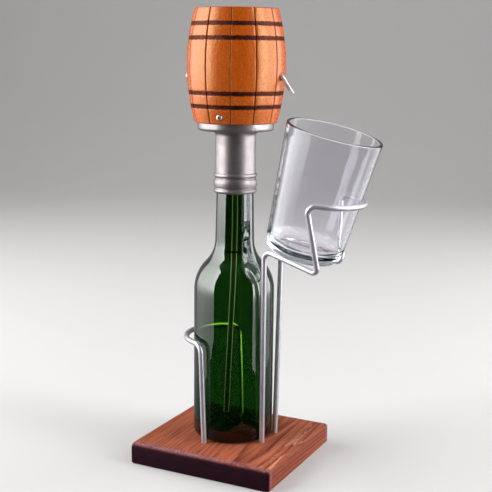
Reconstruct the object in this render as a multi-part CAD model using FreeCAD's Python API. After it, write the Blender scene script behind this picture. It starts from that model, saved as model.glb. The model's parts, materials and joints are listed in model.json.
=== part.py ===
"""Cask-topped pump dispenser on a wire stand, with a tilted tumbler beside the bottle.

Millimetres, +Z up. The origin is on the bottle's axis at the underside of the base board, and +X
points at the tumbler. One STEP file is written for each piece.
"""
import FreeCAD, Part
import math
import os

V = FreeCAD.Vector
X, Y, Z = V(1, 0, 0), V(0, 1, 0), V(0, 0, 1)
ORIGIN = V(0, 0, 0)

# ---------------------------------------------------------------- clearances
FIT = 0.04              # radial play of a running or located fit
SEAT = 0.3              # gap left where a loose piece rests on wire
SLACK = 0.5             # gap round a piece that only has to pass

# ---------------------------------------------------------------- base board
BOARD_LENGTH = 115.0    # along X
BOARD_WIDTH = 111.0     # along Y, with the grain
BOARD_THICK = 16.0
BOARD_SHIFT_X = 1.6     # board's centre from the bottle's axis
BOARD_SHIFT_Y = -4.0
BOARD_ROUND = 1.8       # upright corners and the top edges along the grain
BOARD_END_ROUND = 4.5   # top edges across the grain
BOARD_EASE = 0.8        # underside edges
FOOT_DEPTH = 11.0       # wire let into the board

# ---------------------------------------------------------------- wire
WIRE_D = 4.0
HOOP_GAP = 1.2          # bottle to the hoop's feet
HOOP_FOOT_X = -7.7
HOOP_LEAN = 2.8         # the hoop's top leans back this much
HOOP_HEIGHT = 76.0      # centre line of the loop over the board
HOOP_BACK = 36.5        # back of the loop from the bottle's axis
HOOP_BEND = 7.0
HOOP_REACH = 7.5        # straight run between corner and arc
POST_GAP = 0.4          # bottle to the cradle's posts
POST_FOOT_Y = 11.8
POST_TOP_X = 31.8
POST_TOP_Y = 15.0
POST_BEND = 5.0

# ---------------------------------------------------------------- bottle
BOTTLE_D = 60.6
BOTTLE_HEIGHT = 226.0
BOTTLE_WALL = 3.0
BOTTLE_FLOOR = 4.5
PUNT_HEIGHT = 8.0
PUNT_R = 19.0
HEEL_ROUND = 4.5
SHOULDER_Z = 126.0      # where body and shoulder lines meet, over the board
NECK_Z = 142.0          # where shoulder and neck lines meet
SHOULDER_ROUND = 31.0
NECK_ROUND = 23.0
NECK_BASE_D = 29.6
NECK_TOP_D = 27.2
FINISH_D = 28.0         # glass ring under the mouth
FINISH_HEIGHT = 6.0
FINISH_DROP = 4.0       # ring's top below the mouth
NECK_TAPER_END = 28.0   # neck is straight from here to the mouth
BORE_D = 18.5           # mouth
BORE_DEPTH = 46.0
BORE_BASE_D = 21.0

# ---------------------------------------------------------------- tumbler
TUMBLER_X = 54.9        # base centre
TUMBLER_Z = 144.7       # base centre over the board
TUMBLER_TILT = 14.5     # degrees, leaning away from the bottle
TUMBLER_HEIGHT = 93.6
TUMBLER_BASE_R = 28.0
TUMBLER_RIM_R = 35.0
TUMBLER_WALL = 2.2
TUMBLER_FLOOR = 8.0
TUMBLER_ROUND = 9.0

# cradle, measured along and across the tumbler's own axis
CRADLE_TURN_U = 23.8    # end of the under runs
CRADLE_TURN_V = 23.0
CRADLE_TURN_BEND = 4.0
CRADLE_CORNER_S = 45.0  # height of the loop's corners up the tumbler
CRADLE_CORNER_BEND = 5.0
CRADLE_LOOP_GAP = 1.15  # tumbler to loop at the corners
CRADLE_LOOP_TILT = 9.5  # degrees, loop against the tumbler's base
CRADLE_LOOP_OPEN = 68.7 # half angle of the loop's arc
CRADLE_REACH = 6.5      # straight run between corner and arc

# ---------------------------------------------------------------- pump
STROKE = 12.0
BALL_LIFT = 1.2
STOPPER_DEPTH = 15.0
STOPPER_RIBS = 3
STOPPER_RIB = 0.45
STOPPER_FLANGE_D = 25.0
STOPPER_FLANGE_T = 3.0
CYLINDER_BORE_D = 13.0
CYLINDER_WALL = 1.25
CYLINDER_FLANGE_D = 24.0
CYLINDER_FLANGE_T = 2.5
CYLINDER_THREAD_D = 18.0
CYLINDER_THREAD_L = 7.5
CYLINDER_FLOOR_T = 3.0
SEAT_LAND = 1.0         # of the floor, above the foot of the inlet's cone
PISTON_HEIGHT = 8.0
PISTON_TOP_GAP = 0.1
PISTON_FLOOR = 1.0      # ledge under the stem
PISTON_PLAY = 0.15
CUP_HEIGHT = 3.0
CUP_DEPTH = 1.4
INLET_BALL_D = 4.0
INLET_PORT_D = 2.4
RETAINER_T = 1.5
RETAINER_HOLE_D = 1.6
RETAINER_SLOTS = 4
RETAINER_RIM = 1.6
DIP_D = 4.0
DIP_BORE_D = 2.6
DIP_SOCKET = 8.0
SPIGOT_LENGTH = 10.0
SPIGOT_WALL = 2.0
DIP_END_Z = 15.0        # over the board
DIP_END_X = -6.0
DIP_BEND_Z = 140.0
DIP_BEND_R = 1400.0
WASHER_T = 1.6
CAP_D = 23.0
CAP_TOP_T = 2.4
CAP_FLUTES = 16
CAP_FLUTE_R = 0.7
STEM_D = 5.0
STEM_BORE_D = 3.0
COLLAR_D = 10.0
COLLAR_T = 2.5
SPRING_SPACE = 19.0
SPRING_D = 8.2          # mean diameter
SPRING_WIRE_D = 0.7
SPRING_COILS = 5.5
OUTLET_BALL_D = 3.8

# ---------------------------------------------------------------- head
BARREL_D = 72.3
BARREL_HEIGHT = 81.5
BARREL_OVER_MOUTH = 13.1
BARREL_EDGE = 1.0
CAVITY_D = 46.0
STAVES = 12
FIRST_GROOVE_ANGLE = -10.0  # degrees from the spout
GROOVE_WIDTH = 1.0
GROOVE_DEPTH = 0.6
BAND_WIDTH = 3.3
BAND_DEPTH = 0.25
BANDS_FROM_BOTTOM = (12.0, 21.6)
BANDS_FROM_TOP = (11.2, 21.2)
HEAD_DISC_D = 55.0
HEAD_DISC_T = 4.0
HEAD_DISC_SUNK = 2.0
CHIME_WALL = 2.9        # stave left round the head disc

FLANGE_D = 56.4
FLANGE_T = 6.0
FLANGE_ROUND = 2.2
FLANGE_RECESS = 1.5     # inside the ring that stands up
SLEEVE_TOP_D = 30.2
SLEEVE_D = 30.5         # where it meets the ridged end
SLEEVE_BORE_D = 28.6
SLEEVE_LENGTH = 45.9    # below the flange
SLEEVE_ROOT = 4.0       # fillet under the flange
RING_D = 32.6           # ridged end
RING_BEADS = (3.2, 6.6, 3.5)    # heights from the bottom up
RING_GROOVE = 0.75
RING_LEAD = 0.8         # height of each ring's flank
RING_CROWN = 0.3        # bulge of each ring's crest
RING_BORE_D = 29.2
SPIGOT_RING_T = 2.8     # wall that stands up into the barrel
SPIGOT_RING_H = 11.0

CARRIER_WEB_T = 8.6
CARRIER_HUB_D = 18.0
CARRIER_HUB_DROP = 4.5
CARRIER_CHAMBER = 5.0   # bore above the stem's end
CARRIER_ROOF = 2.0      # over that bore
O_RING_D = 1.2
O_RING_UP = 2.5         # over the carrier's underside

SPOUT_D = 3.0
SPOUT_BORE_D = 2.0
SPOUT_BELOW_WEB = 3.5   # below the carrier's top
SPOUT_START = 8.0       # inner end from the axis
SPOUT_FALL_ANGLE = 55.0 # degrees below level
SPOUT_BEND = 5.0
SPOUT_TIP_X = 45.3
SPOUT_BEND_X = 33.2
RELIEF_D = 6.0
RELIEF_DROP = 1.5
RELIEF_DEPTH = 6.5

SCREW_D = 2.5
SCREW_HEAD_D = 4.7
SCREW_HEAD_H = 1.5
SCREW_SOCKET_D = 1.6
SCREW_SOCKET_DEPTH = 0.8
SCREW_BITE = 8.0
FLANGE_SCREW_ANGLES = (-85.0, 95.0)
FLANGE_SCREW_UP = 4.7   # over the barrel's bottom
CARRIER_SCREW_ANGLE = -158.0
CARRIER_SCREW_UP = 3.0  # over the web's underside

# ---------------------------------------------------------------- levels
board_top = BOARD_THICK
mouth = board_top + BOTTLE_HEIGHT
cylinder_flange = mouth + STOPPER_FLANGE_T
cylinder_thread = cylinder_flange + CYLINDER_FLANGE_T
cylinder_top = cylinder_thread + CYLINDER_THREAD_L
cap_inside = cylinder_top + WASHER_T
cap_top = cap_inside + CAP_TOP_T
piston_top = cylinder_top - PISTON_TOP_GAP
piston_bottom = piston_top - PISTON_HEIGHT
retainer_top = piston_bottom - STROKE - SLACK
retainer_bottom = retainer_top - RETAINER_T
inlet_ball_r = INLET_BALL_D / 2
inlet_ball_z = retainer_bottom - BALL_LIFT - inlet_ball_r - FIT
seat_r = inlet_ball_r * math.sqrt(0.5)
seat_base = inlet_ball_z - seat_r - (seat_r - INLET_PORT_D / 2)
cylinder_floor = inlet_ball_z
cylinder_bottom = seat_base - CYLINDER_FLOOR_T + SEAT_LAND
spigot_bottom = cylinder_bottom - SPIGOT_LENGTH
collar_bottom = cap_top + SPRING_SPACE
carrier_bottom = collar_bottom + COLLAR_T
web_bottom = carrier_bottom + CARRIER_HUB_DROP
web_top = web_bottom + CARRIER_WEB_T
spout_z = web_top - SPOUT_BELOW_WEB
outlet_ball_r = OUTLET_BALL_D / 2
chamber_top = web_top - CARRIER_ROOF
stem_top = chamber_top - CARRIER_CHAMBER
outlet_ball_z = stem_top + math.sqrt(outlet_ball_r ** 2 - (STEM_BORE_D / 2) ** 2)
barrel_bottom = mouth + BARREL_OVER_MOUTH
barrel_top = barrel_bottom + BARREL_HEIGHT
barrel_middle = barrel_bottom + BARREL_HEIGHT / 2
flange_bottom = barrel_bottom - FLANGE_T
sleeve_end = flange_bottom - SLEEVE_LENGTH
barrel_end_d = HEAD_DISC_D + 2 * CHIME_WALL
belly = (BARREL_D - barrel_end_d) / 2
barrel_arc_r = ((BARREL_HEIGHT / 2) ** 2 + belly ** 2) / (2 * belly)
wire_r = WIRE_D / 2
bottle_r = BOTTLE_D / 2


# ---------------------------------------------------------------- shared geometry
def corner_arc(before, corner, after, radius):
    """Tangent points and middle of the arc that rounds a corner."""
    a = (before - corner).normalize()
    b = (after - corner).normalize()
    half = a.getAngle(b) / 2
    reach = radius / math.tan(half)
    inward = (a + b).normalize()
    middle = corner + inward * (radius / math.sin(half) - radius)
    return corner + a * reach, middle, corner + b * reach


def fitted_radii(points, radii, closed):
    """The same roundings, each limited by the straight edges beside it."""
    count = len(points)
    reach = []
    for i in range(count):
        a, b = points[i - 1] - points[i], points[(i + 1) % count] - points[i]
        reach.append(radii[i] / math.tan(a.getAngle(b) / 2) if radii[i] > 0 else 0)
    share = [1.0] * count
    for i in range(count if closed else count - 1):
        j = (i + 1) % count
        needed, length = reach[i] + reach[j], points[i].distanceToPoint(points[j])
        if needed > length:
            share[i] = min(share[i], length / needed)
            share[j] = min(share[j], length / needed)
    return [radius * part for radius, part in zip(radii, share)]


def rounded_edges(points, radii, closed):
    """Straight edges through the points, with an arc at each point that has a radius."""
    count = len(points)
    radii = fitted_radii(points, radii, closed)
    arcs = {}
    for i in range(count):
        if radii[i] > 0:
            arcs[i] = corner_arc(points[i - 1], points[i], points[(i + 1) % count], radii[i])
    edges = []
    for i in range(count if closed else count - 1):
        j = (i + 1) % count
        start = arcs[i][2] if i in arcs else points[i]
        end = arcs[j][0] if j in arcs else points[j]
        if start.distanceToPoint(end) > 1e-6:
            edges.append(Part.LineSegment(start, end).toShape())
        if j in arcs and (closed or j < count - 1):
            edges.append(Part.Arc(*arcs[j]).toShape())
    return edges


def turned(profile):
    """Solid of revolution about Z. Each profile point is (radius, height) or with a rounding."""
    points = [V(p[0], 0, p[1]) for p in profile]
    radii = [p[2] if len(p) > 2 else 0 for p in profile]
    wire = Part.Wire(Part.__sortEdges__(rounded_edges(points, radii, True)))
    return Part.Face(wire).revolve(ORIGIN, Z, 360)


def disc(radius, low, high, at=ORIGIN):
    return Part.makeCylinder(radius, high - low, V(at.x, at.y, low))


def swept(edges, radius):
    """Round bar along a path of tangent lines and arcs."""
    path = Part.Wire(edges)
    first = path.Edges[0]
    start = first.valueAt(first.FirstParameter)
    heading = first.tangentAt(first.FirstParameter)
    section = Part.Wire(Part.makeCircle(radius, start, heading))
    return path.makePipeShell([section], True, True)


def mirrored(vector):
    return V(vector.x, -vector.y, vector.z)


def radial(shape, degrees):
    """Turn a piece made along +X round to an angle about the bottle's axis."""
    turned_shape = shape.copy()
    turned_shape.rotate(ORIGIN, Z, degrees)
    return turned_shape


def barrel_radius(height):
    """Outer radius of the barrel at a height."""
    rise = height - barrel_middle
    return BARREL_D / 2 - barrel_arc_r + math.sqrt(barrel_arc_r ** 2 - rise ** 2)


# ---------------------------------------------------------------- stand
def hoop_foot():
    reach = bottle_r + HOOP_GAP + wire_r
    return V(HOOP_FOOT_X, -math.sqrt(reach ** 2 - HOOP_FOOT_X ** 2), board_top)


def post_foot():
    reach = bottle_r + POST_GAP + wire_r
    return V(math.sqrt(reach ** 2 - POST_FOOT_Y ** 2), -POST_FOOT_Y, board_top)


def hoop_corner():
    foot = hoop_foot()
    return V(foot.x - HOOP_LEAN, foot.y - HOOP_GAP / 2, board_top + HOOP_HEIGHT)


def tumbler_point(u, v, s):
    """Point at u across the tilt, v sideways and s up the tumbler's axis."""
    tilt = math.radians(TUMBLER_TILT)
    across = V(math.cos(tilt), 0, -math.sin(tilt))
    along = V(math.sin(tilt), 0, math.cos(tilt))
    return V(TUMBLER_X, 0, board_top + TUMBLER_Z) + across * u + Y * v + along * s


def tumbler_radius(s):
    return TUMBLER_BASE_R + (TUMBLER_RIM_R - TUMBLER_BASE_R) * s / TUMBLER_HEIGHT


def under_run():
    """Distance of the under runs' centre lines from the tumbler's base."""
    return -(wire_r + SEAT)


def post_corner():
    """Where a post's line meets the plane of the under runs."""
    tilt = math.radians(TUMBLER_TILT)
    top = tumbler_point(0, -POST_TOP_Y, under_run())
    return V(POST_TOP_X, top.y, top.z + (top.x - POST_TOP_X) * math.tan(tilt))


def foot_end(foot, corner):
    """Bottom of a leg, let into the board along its own line."""
    heading = (corner - foot).normalize()
    return foot - heading * FOOT_DEPTH


def leg_hole(foot, corner):
    heading = (corner - foot).normalize()
    start = foot - heading * (FOOT_DEPTH + FIT)
    return Part.makeCylinder(wire_r + FIT, FOOT_DEPTH + WIRE_D, start, heading)


def board_bar(axis, length, width, top_round):
    """Bar along an axis with the board's section: eased below, rounded on top."""
    half = width / 2
    across = Y if axis == X else X
    points = [
        across * (BOARD_EASE - half),
        across * (half - BOARD_EASE),
        across * half + Z * BOARD_EASE,
        across * half + Z * BOARD_THICK,
        across * -half + Z * BOARD_THICK,
        across * -half + Z * BOARD_EASE,
    ]
    wire = Part.Wire(rounded_edges(points, [0, 0, 0, top_round, top_round, 0], True))
    face = Part.Face(wire)
    face.translate(axis * (-length / 2))
    return face.extrude(axis * length)


def make_base_board():
    """Board with its corners rounded and four slanted holes for the wires."""
    x, y = BOARD_LENGTH / 2, BOARD_WIDTH / 2
    corners = [V(x, y, 0), V(-x, y, 0), V(-x, -y, 0), V(x, -y, 0)]
    plan = Part.Face(Part.Wire(rounded_edges(corners, [BOARD_ROUND] * 4, True)))
    board = plan.extrude(Z * BOARD_THICK)
    board = board.common(board_bar(X, BOARD_LENGTH, BOARD_WIDTH, BOARD_END_ROUND))
    board = board.common(board_bar(Y, BOARD_WIDTH, BOARD_LENGTH, BOARD_ROUND))
    board.translate(V(BOARD_SHIFT_X, BOARD_SHIFT_Y, 0))
    for foot, top in ((hoop_foot(), hoop_corner()), (post_foot(), post_corner())):
        board = board.cut(leg_hole(foot, top))
        board = board.cut(leg_hole(mirrored(foot), mirrored(top)))
    return board.removeSplitter()


def make_bottle_hoop():
    """Two legs joined by a loop that passes behind the bottle."""
    foot, corner = hoop_foot(), hoop_corner()
    depth = corner.x + HOOP_BACK
    loop_r = (depth ** 2 + corner.y ** 2 - HOOP_REACH ** 2) / (2 * depth)
    centre = V(loop_r - HOOP_BACK, 0, corner.z)
    lead = math.atan2(corner.y, corner.x - centre.x) - math.atan2(HOOP_REACH, loop_r)
    tangent = centre + V(math.cos(lead), math.sin(lead), 0) * loop_r
    points = [foot_end(foot, corner), corner, tangent]
    edges = rounded_edges(points, [0, HOOP_BEND, 0], False)
    edges.append(Part.Arc(tangent, centre - X * loop_r, mirrored(tangent)).toShape())
    points = [mirrored(p) for p in reversed(points)]
    edges += rounded_edges(points, [0, HOOP_BEND, 0], False)
    return swept(edges, wire_r)


def make_glass_cradle():
    """Two posts, two runs under the tumbler and a loop round its far side, all one wire."""
    foot, corner = post_foot(), post_corner()
    turn = tumbler_point(CRADLE_TURN_U, -CRADLE_TURN_V, under_run())
    tilt = math.radians(CRADLE_LOOP_TILT)
    loop_r = tumbler_radius(CRADLE_CORNER_S) + CRADLE_LOOP_GAP + wire_r
    opening = math.radians(CRADLE_LOOP_OPEN)

    def loop_point(u, v):
        rise = u - corner_u
        return tumbler_point(u * math.cos(tilt), v, CRADLE_CORNER_S + rise * math.sin(tilt))

    tangent_u, tangent_v = loop_r * math.cos(opening), -loop_r * math.sin(opening)
    corner_u = tangent_u - CRADLE_REACH * math.sin(opening)
    corner_v = tangent_v - CRADLE_REACH * math.cos(opening)
    tangent = loop_point(tangent_u, tangent_v)
    points = [foot_end(foot, corner), corner, turn, loop_point(corner_u, corner_v), tangent]
    radii = [0, POST_BEND, CRADLE_TURN_BEND, CRADLE_CORNER_BEND, 0]
    edges = rounded_edges(points, radii, False)
    edges.append(Part.Arc(tangent, loop_point(loop_r, 0), mirrored(tangent)).toShape())
    points = [mirrored(p) for p in reversed(points)]
    edges += rounded_edges(points, radii[::-1], False)
    return swept(edges, wire_r)


# ---------------------------------------------------------------- glass
def make_bottle():
    body, neck = bottle_r, NECK_BASE_D / 2
    top = NECK_TOP_D / 2
    ring_top = mouth - FINISH_DROP
    ring_bottom = ring_top - FINISH_HEIGHT
    outside = [
        (0, board_top + PUNT_HEIGHT),
        (PUNT_R * 0.5, board_top + PUNT_HEIGHT, 8.0),
        (PUNT_R, board_top, 1.5),
        (body, board_top, HEEL_ROUND),
        (body, board_top + SHOULDER_Z, SHOULDER_ROUND),
        (neck, board_top + NECK_Z, NECK_ROUND),
        (top, mouth - NECK_TAPER_END, 30.0),
        (top, ring_bottom, 0.8),
        (FINISH_D / 2, ring_bottom + 0.6, 1.0),
        (FINISH_D / 2, ring_top, 1.0),
        (top, ring_top + 0.6, 0.6),
        (top, mouth, 1.2),
    ]
    inner = body - BOTTLE_WALL
    inside = [
        (BORE_D / 2, mouth, 0.8),
        (BORE_D / 2, mouth - BORE_DEPTH),
        (BORE_BASE_D / 2, board_top + NECK_Z + BOTTLE_WALL, NECK_ROUND + BOTTLE_WALL),
        (inner, board_top + SHOULDER_Z - BOTTLE_WALL / 2, SHOULDER_ROUND - BOTTLE_WALL),
        (inner, board_top + BOTTLE_FLOOR, HEEL_ROUND + 1.5),
        (PUNT_R + 1.0, board_top + BOTTLE_FLOOR, 3.0),
        (PUNT_R * 0.5, board_top + PUNT_HEIGHT + BOTTLE_FLOOR, 8.0),
        (0, board_top + PUNT_HEIGHT + BOTTLE_FLOOR),
    ]
    return turned(outside + inside)


def make_tumbler():
    inner_rim = TUMBLER_RIM_R - TUMBLER_WALL
    inner_base = tumbler_radius(TUMBLER_FLOOR) - TUMBLER_WALL
    profile = [
        (0, 0),
        (TUMBLER_BASE_R, 0, TUMBLER_ROUND),
        (TUMBLER_RIM_R, TUMBLER_HEIGHT, TUMBLER_WALL * 0.45),
        (inner_rim, TUMBLER_HEIGHT, TUMBLER_WALL * 0.45),
        (inner_base, TUMBLER_FLOOR, TUMBLER_ROUND - TUMBLER_WALL),
        (0, TUMBLER_FLOOR),
    ]
    glass = turned(profile)
    glass.rotate(ORIGIN, Y, TUMBLER_TILT)
    glass.translate(V(TUMBLER_X, 0, board_top + TUMBLER_Z))
    return glass


# ---------------------------------------------------------------- pump body
def make_rubber_stopper():
    """Ribbed plug with a flange that seals on the mouth."""
    plug = BORE_D / 2 - FIT - STOPPER_RIB
    rib = BORE_D / 2 - FIT
    hole = CYLINDER_BORE_D / 2 + CYLINDER_WALL + FIT
    bottom = mouth - STOPPER_DEPTH
    profile = [(hole, bottom), (plug, bottom, 0.4)]
    pitch = STOPPER_DEPTH / (STOPPER_RIBS + 1)
    for i in range(STOPPER_RIBS):
        middle = bottom + pitch * (i + 1) - pitch / 4
        profile += [(plug, middle - 0.9), (rib, middle - 0.3), (rib, middle + 0.3), (plug, middle + 0.9)]
    profile += [
        (plug, mouth),
        (STOPPER_FLANGE_D / 2, mouth, 0.6),
        (STOPPER_FLANGE_D / 2, mouth + STOPPER_FLANGE_T, 0.6),
        (hole, mouth + STOPPER_FLANGE_T),
    ]
    return turned(profile)


def make_pump_cylinder():
    """Cylinder with a flange, a threaded neck, the inlet seat and the dip tube's socket."""
    bore, outer = CYLINDER_BORE_D / 2, CYLINDER_BORE_D / 2 + CYLINDER_WALL
    dip = DIP_D / 2 + FIT
    port = INLET_PORT_D / 2
    seat_top = port + (cylinder_floor - seat_base)
    profile = [
        (dip, spigot_bottom),
        (dip + SPIGOT_WALL, spigot_bottom, 0.5),
        (dip + SPIGOT_WALL, cylinder_bottom, 0.8),
        (outer, cylinder_bottom, 0.8),
        (outer, cylinder_flange),
        (CYLINDER_FLANGE_D / 2, cylinder_flange, 0.4),
        (CYLINDER_FLANGE_D / 2, cylinder_thread, 0.4),
        (CYLINDER_THREAD_D / 2, cylinder_thread),
        (CYLINDER_THREAD_D / 2, cylinder_top, 0.3),
        (bore, cylinder_top),
        (bore, cylinder_floor),
        (seat_top, cylinder_floor),
        (port, seat_base),
        (port, spigot_bottom + DIP_SOCKET),
        (dip, spigot_bottom + DIP_SOCKET),
    ]
    return turned(profile)


def make_inlet_retainer():
    """Pressed ring with a small hole and slots round it, over the inlet ball."""
    radius, hole = CYLINDER_BORE_D / 2 - FIT, RETAINER_HOLE_D / 2
    ring = disc(radius, retainer_bottom, retainer_top)
    start, end = inlet_ball_r + hole / 4, radius - RETAINER_RIM
    slot = Part.makeBox(end - start, 2 * hole, RETAINER_T, V(start, -hole, retainer_bottom))
    slots = [radial(slot, 360.0 / RETAINER_SLOTS * (k + 0.5)) for k in range(RETAINER_SLOTS)]
    return ring.cut([disc(hole, retainer_bottom, retainer_top)] + slots)


def make_dip_tube():
    top = V(0, 0, spigot_bottom + DIP_SOCKET)
    bend = V(0, 0, board_top + DIP_BEND_Z)
    end = V(DIP_END_X, 0, board_top + DIP_END_Z)
    edges = rounded_edges([top, bend, end], [0, DIP_BEND_R, 0], False)
    return swept(edges, DIP_D / 2).cut(swept(edges, DIP_BORE_D / 2))


def make_gland_washer():
    ring = disc(CYLINDER_THREAD_D / 2 - FIT, cylinder_top, cap_inside)
    return ring.cut(disc(STEM_D / 2 + FIT, cylinder_top, cap_inside))


def make_gland_cap():
    inside = CYLINDER_THREAD_D / 2 + FIT
    hole = STEM_D / 2 + FIT
    profile = [
        (inside, cylinder_thread + SEAT),
        (CAP_D / 2, cylinder_thread + SEAT, 0.4),
        (CAP_D / 2, cap_top, 1.0),
        (hole, cap_top, 0.3),
        (hole, cap_inside),
        (inside, cap_inside),
    ]
    cap = turned(profile)
    centre = V(CAP_D / 2 + CAP_FLUTE_R / 2, 0, cylinder_thread)
    flute = Part.makeCylinder(CAP_FLUTE_R, cap_top - cylinder_thread, centre)
    return cap.cut([radial(flute, 360.0 * k / CAP_FLUTES) for k in range(CAP_FLUTES)])


def make_ball(diameter, height):
    return Part.makeSphere(diameter / 2, V(0, 0, height))


# ---------------------------------------------------------------- plunger
def make_pump_stem():
    profile = [
        (STEM_BORE_D / 2, piston_bottom + PISTON_FLOOR),
        (STEM_D / 2, piston_bottom + PISTON_FLOOR, 0.3),
        (STEM_D / 2, stem_top, 0.3),
        (STEM_BORE_D / 2, stem_top),
    ]
    return turned(profile)


def make_stem_collar():
    profile = [
        (STEM_D / 2, collar_bottom),
        (COLLAR_D / 2, collar_bottom, 0.4),
        (COLLAR_D / 2, carrier_bottom, 0.4),
        (STEM_D / 2, carrier_bottom),
    ]
    return turned(profile)


def cup_levels():
    middle = (piston_bottom + piston_top) / 2
    return middle - CUP_HEIGHT / 2, middle + CUP_HEIGHT / 2


def make_piston():
    outer = CYLINDER_BORE_D / 2 - PISTON_PLAY
    low, high = cup_levels()
    profile = [
        (STEM_BORE_D / 2, piston_bottom),
        (outer, piston_bottom, 0.6),
        (outer, low),
        (outer - CUP_DEPTH, low),
        (outer - CUP_DEPTH, high),
        (outer, high),
        (outer, piston_top, 0.6),
        (STEM_D / 2, piston_top),
        (STEM_D / 2, piston_bottom + PISTON_FLOOR),
        (STEM_BORE_D / 2, piston_bottom + PISTON_FLOOR),
    ]
    return turned(profile)


def make_piston_cup():
    """Rubber cup in the piston's groove, waisted between its two lips."""
    root = CYLINDER_BORE_D / 2 - PISTON_PLAY - CUP_DEPTH
    lip = CYLINDER_BORE_D / 2 - FIT
    low, high = cup_levels()
    profile = [
        (root, low),
        (lip, low, 0.3),
        (lip - 0.5, (low + high) / 2, 0.4),
        (lip, high, 0.3),
        (root, high),
    ]
    return turned(profile)


def make_return_spring():
    """Coil spring round the stem, between the cap and the collar."""
    low = cap_top + SPRING_WIRE_D / 2 + 0.05
    high = collar_bottom - SPRING_WIRE_D / 2 - 0.05
    pitch = (high - low) / SPRING_COILS
    helix = Part.makeHelix(pitch, high - low, SPRING_D / 2)
    helix.translate(V(0, 0, low))
    section = Part.Wire(Part.makeCircle(SPRING_WIRE_D / 2, V(SPRING_D / 2, 0, low), Y))
    return Part.Wire(helix.Edges).makePipeShell([section], True, True)


# ---------------------------------------------------------------- head
def make_meridian_groove():
    """Shallow V that follows the barrel's curve from end to end, made at +X."""
    centre = V(BARREL_D / 2 - barrel_arc_r, 0, barrel_middle)
    deep = BARREL_D / 2 - GROOVE_DEPTH
    proud = BARREL_D / 2 + GROOVE_DEPTH
    points = [V(deep, 0, barrel_middle), V(proud, GROOVE_WIDTH, barrel_middle)]
    points += [V(proud, -GROOVE_WIDTH, barrel_middle), points[0]]
    sweep = 2.1 * math.degrees(math.asin(BARREL_HEIGHT / 2 / barrel_arc_r))
    face = Part.Face(Part.makePolygon(points))
    face.rotate(centre, Y, -sweep / 2)
    return face.revolve(centre, Y, sweep)


def make_band(height):
    """Thin ring cut round the barrel at a height."""
    low, high = height - BAND_WIDTH / 2, height + BAND_WIDTH / 2
    floor_low, floor_high = barrel_radius(low) - BAND_DEPTH, barrel_radius(high) - BAND_DEPTH
    outside = BARREL_D / 2 + BAND_DEPTH
    return turned([(floor_low, low), (outside, low), (outside, high), (floor_high, high)])


def band_heights():
    low = [barrel_bottom + h for h in BANDS_FROM_BOTTOM]
    return low + [barrel_top - h for h in BANDS_FROM_TOP]


def make_barrel():
    """Turned cask, bored from below, with a sunk seat for the head disc."""
    end, cavity = barrel_end_d / 2, CAVITY_D / 2
    sunk = barrel_top - HEAD_DISC_SUNK - HEAD_DISC_T
    arc = Part.Arc(V(end, 0, barrel_bottom), V(BARREL_D / 2, 0, barrel_middle), V(end, 0, barrel_top))
    points = [(end, barrel_top), (HEAD_DISC_D / 2, barrel_top), (HEAD_DISC_D / 2, sunk), (0, sunk)]
    points += [(0, web_top), (cavity, web_top), (cavity, barrel_bottom), (end, barrel_bottom)]
    vectors = [V(r, 0, z) for r, z in points]
    edges = [arc.toShape()]
    for a, b in zip(vectors, vectors[1:]):
        edges.append(Part.LineSegment(a, b).toShape())
    barrel = Part.Face(Part.Wire(Part.__sortEdges__(edges))).revolve(ORIGIN, Z, 360)
    rims = [e for e in barrel.Edges if is_ring(e, end)]
    rim_width = end - max(HEAD_DISC_D / 2, cavity)
    barrel = barrel.makeFillet(min(BARREL_EDGE, 0.8 * rim_width), rims)
    cutters = [make_band(h) for h in band_heights()]
    groove = make_meridian_groove()
    cutters += [radial(groove, FIRST_GROOVE_ANGLE + 360.0 * k / STAVES) for k in range(STAVES)]
    cutters += [flange_screw_hole(a) for a in FLANGE_SCREW_ANGLES]
    cutters.append(carrier_screw_hole())
    cutters += spout_holes()
    return barrel.cut(cutters)


def is_ring(edge, radius):
    curve = edge.Curve
    return isinstance(curve, Part.Circle) and abs(curve.Radius - radius) < 1e-6


def make_cask_head():
    """Disc let into the barrel's top, with a shallow dome."""
    low = barrel_top - HEAD_DISC_SUNK - HEAD_DISC_T
    radius = HEAD_DISC_D / 2 - FIT
    return turned([(0, low), (radius, low), (radius, low + HEAD_DISC_T, 0.6), (0, low + HEAD_DISC_T)])


def bead(radius, level, height):
    """Half profile of a rounded ring that stands on the tube's surface."""
    tube, shoulder = SLEEVE_D / 2, radius - RING_CROWN
    return [
        (tube, level),
        (shoulder, level + RING_LEAD, 1.0),
        (radius, level + height / 2, 2.0),
        (shoulder, level + height - RING_LEAD, 1.0),
        (tube, level + height),
    ]


def make_flanged_sleeve():
    """Flange under the barrel, tube over the bottle's neck and a ridged end, in one piece."""
    bore = SLEEVE_BORE_D / 2
    spigot = CAVITY_D / 2 - FIT
    profile = [(RING_BORE_D / 2, sleeve_end)]
    level = sleeve_end
    for height in RING_BEADS:
        profile += bead(RING_D / 2, level, height)
        level += height + RING_GROOVE
    ring_top = level - RING_GROOVE
    profile += [
        (SLEEVE_TOP_D / 2, flange_bottom, SLEEVE_ROOT),
        (FLANGE_D / 2, flange_bottom, FLANGE_ROUND),
        (FLANGE_D / 2, barrel_bottom, 0.6),
        (spigot, barrel_bottom),
        (spigot, barrel_bottom + SPIGOT_RING_H, 0.5),
        (spigot - SPIGOT_RING_T, barrel_bottom + SPIGOT_RING_H),
        (spigot - SPIGOT_RING_T, barrel_bottom - FLANGE_RECESS, 1.0),
        (bore, barrel_bottom - FLANGE_RECESS, 0.5),
        (bore, ring_top),
        (RING_BORE_D / 2, ring_top - RING_LEAD),
    ]
    sleeve = turned(profile)
    tap = Part.makeCylinder(SCREW_D / 2, CAVITY_D, V(0, 0, barrel_bottom + FLANGE_SCREW_UP), X)
    for angle in FLANGE_SCREW_ANGLES:
        sleeve = sleeve.cut(radial(tap, angle))
    return sleeve


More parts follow.
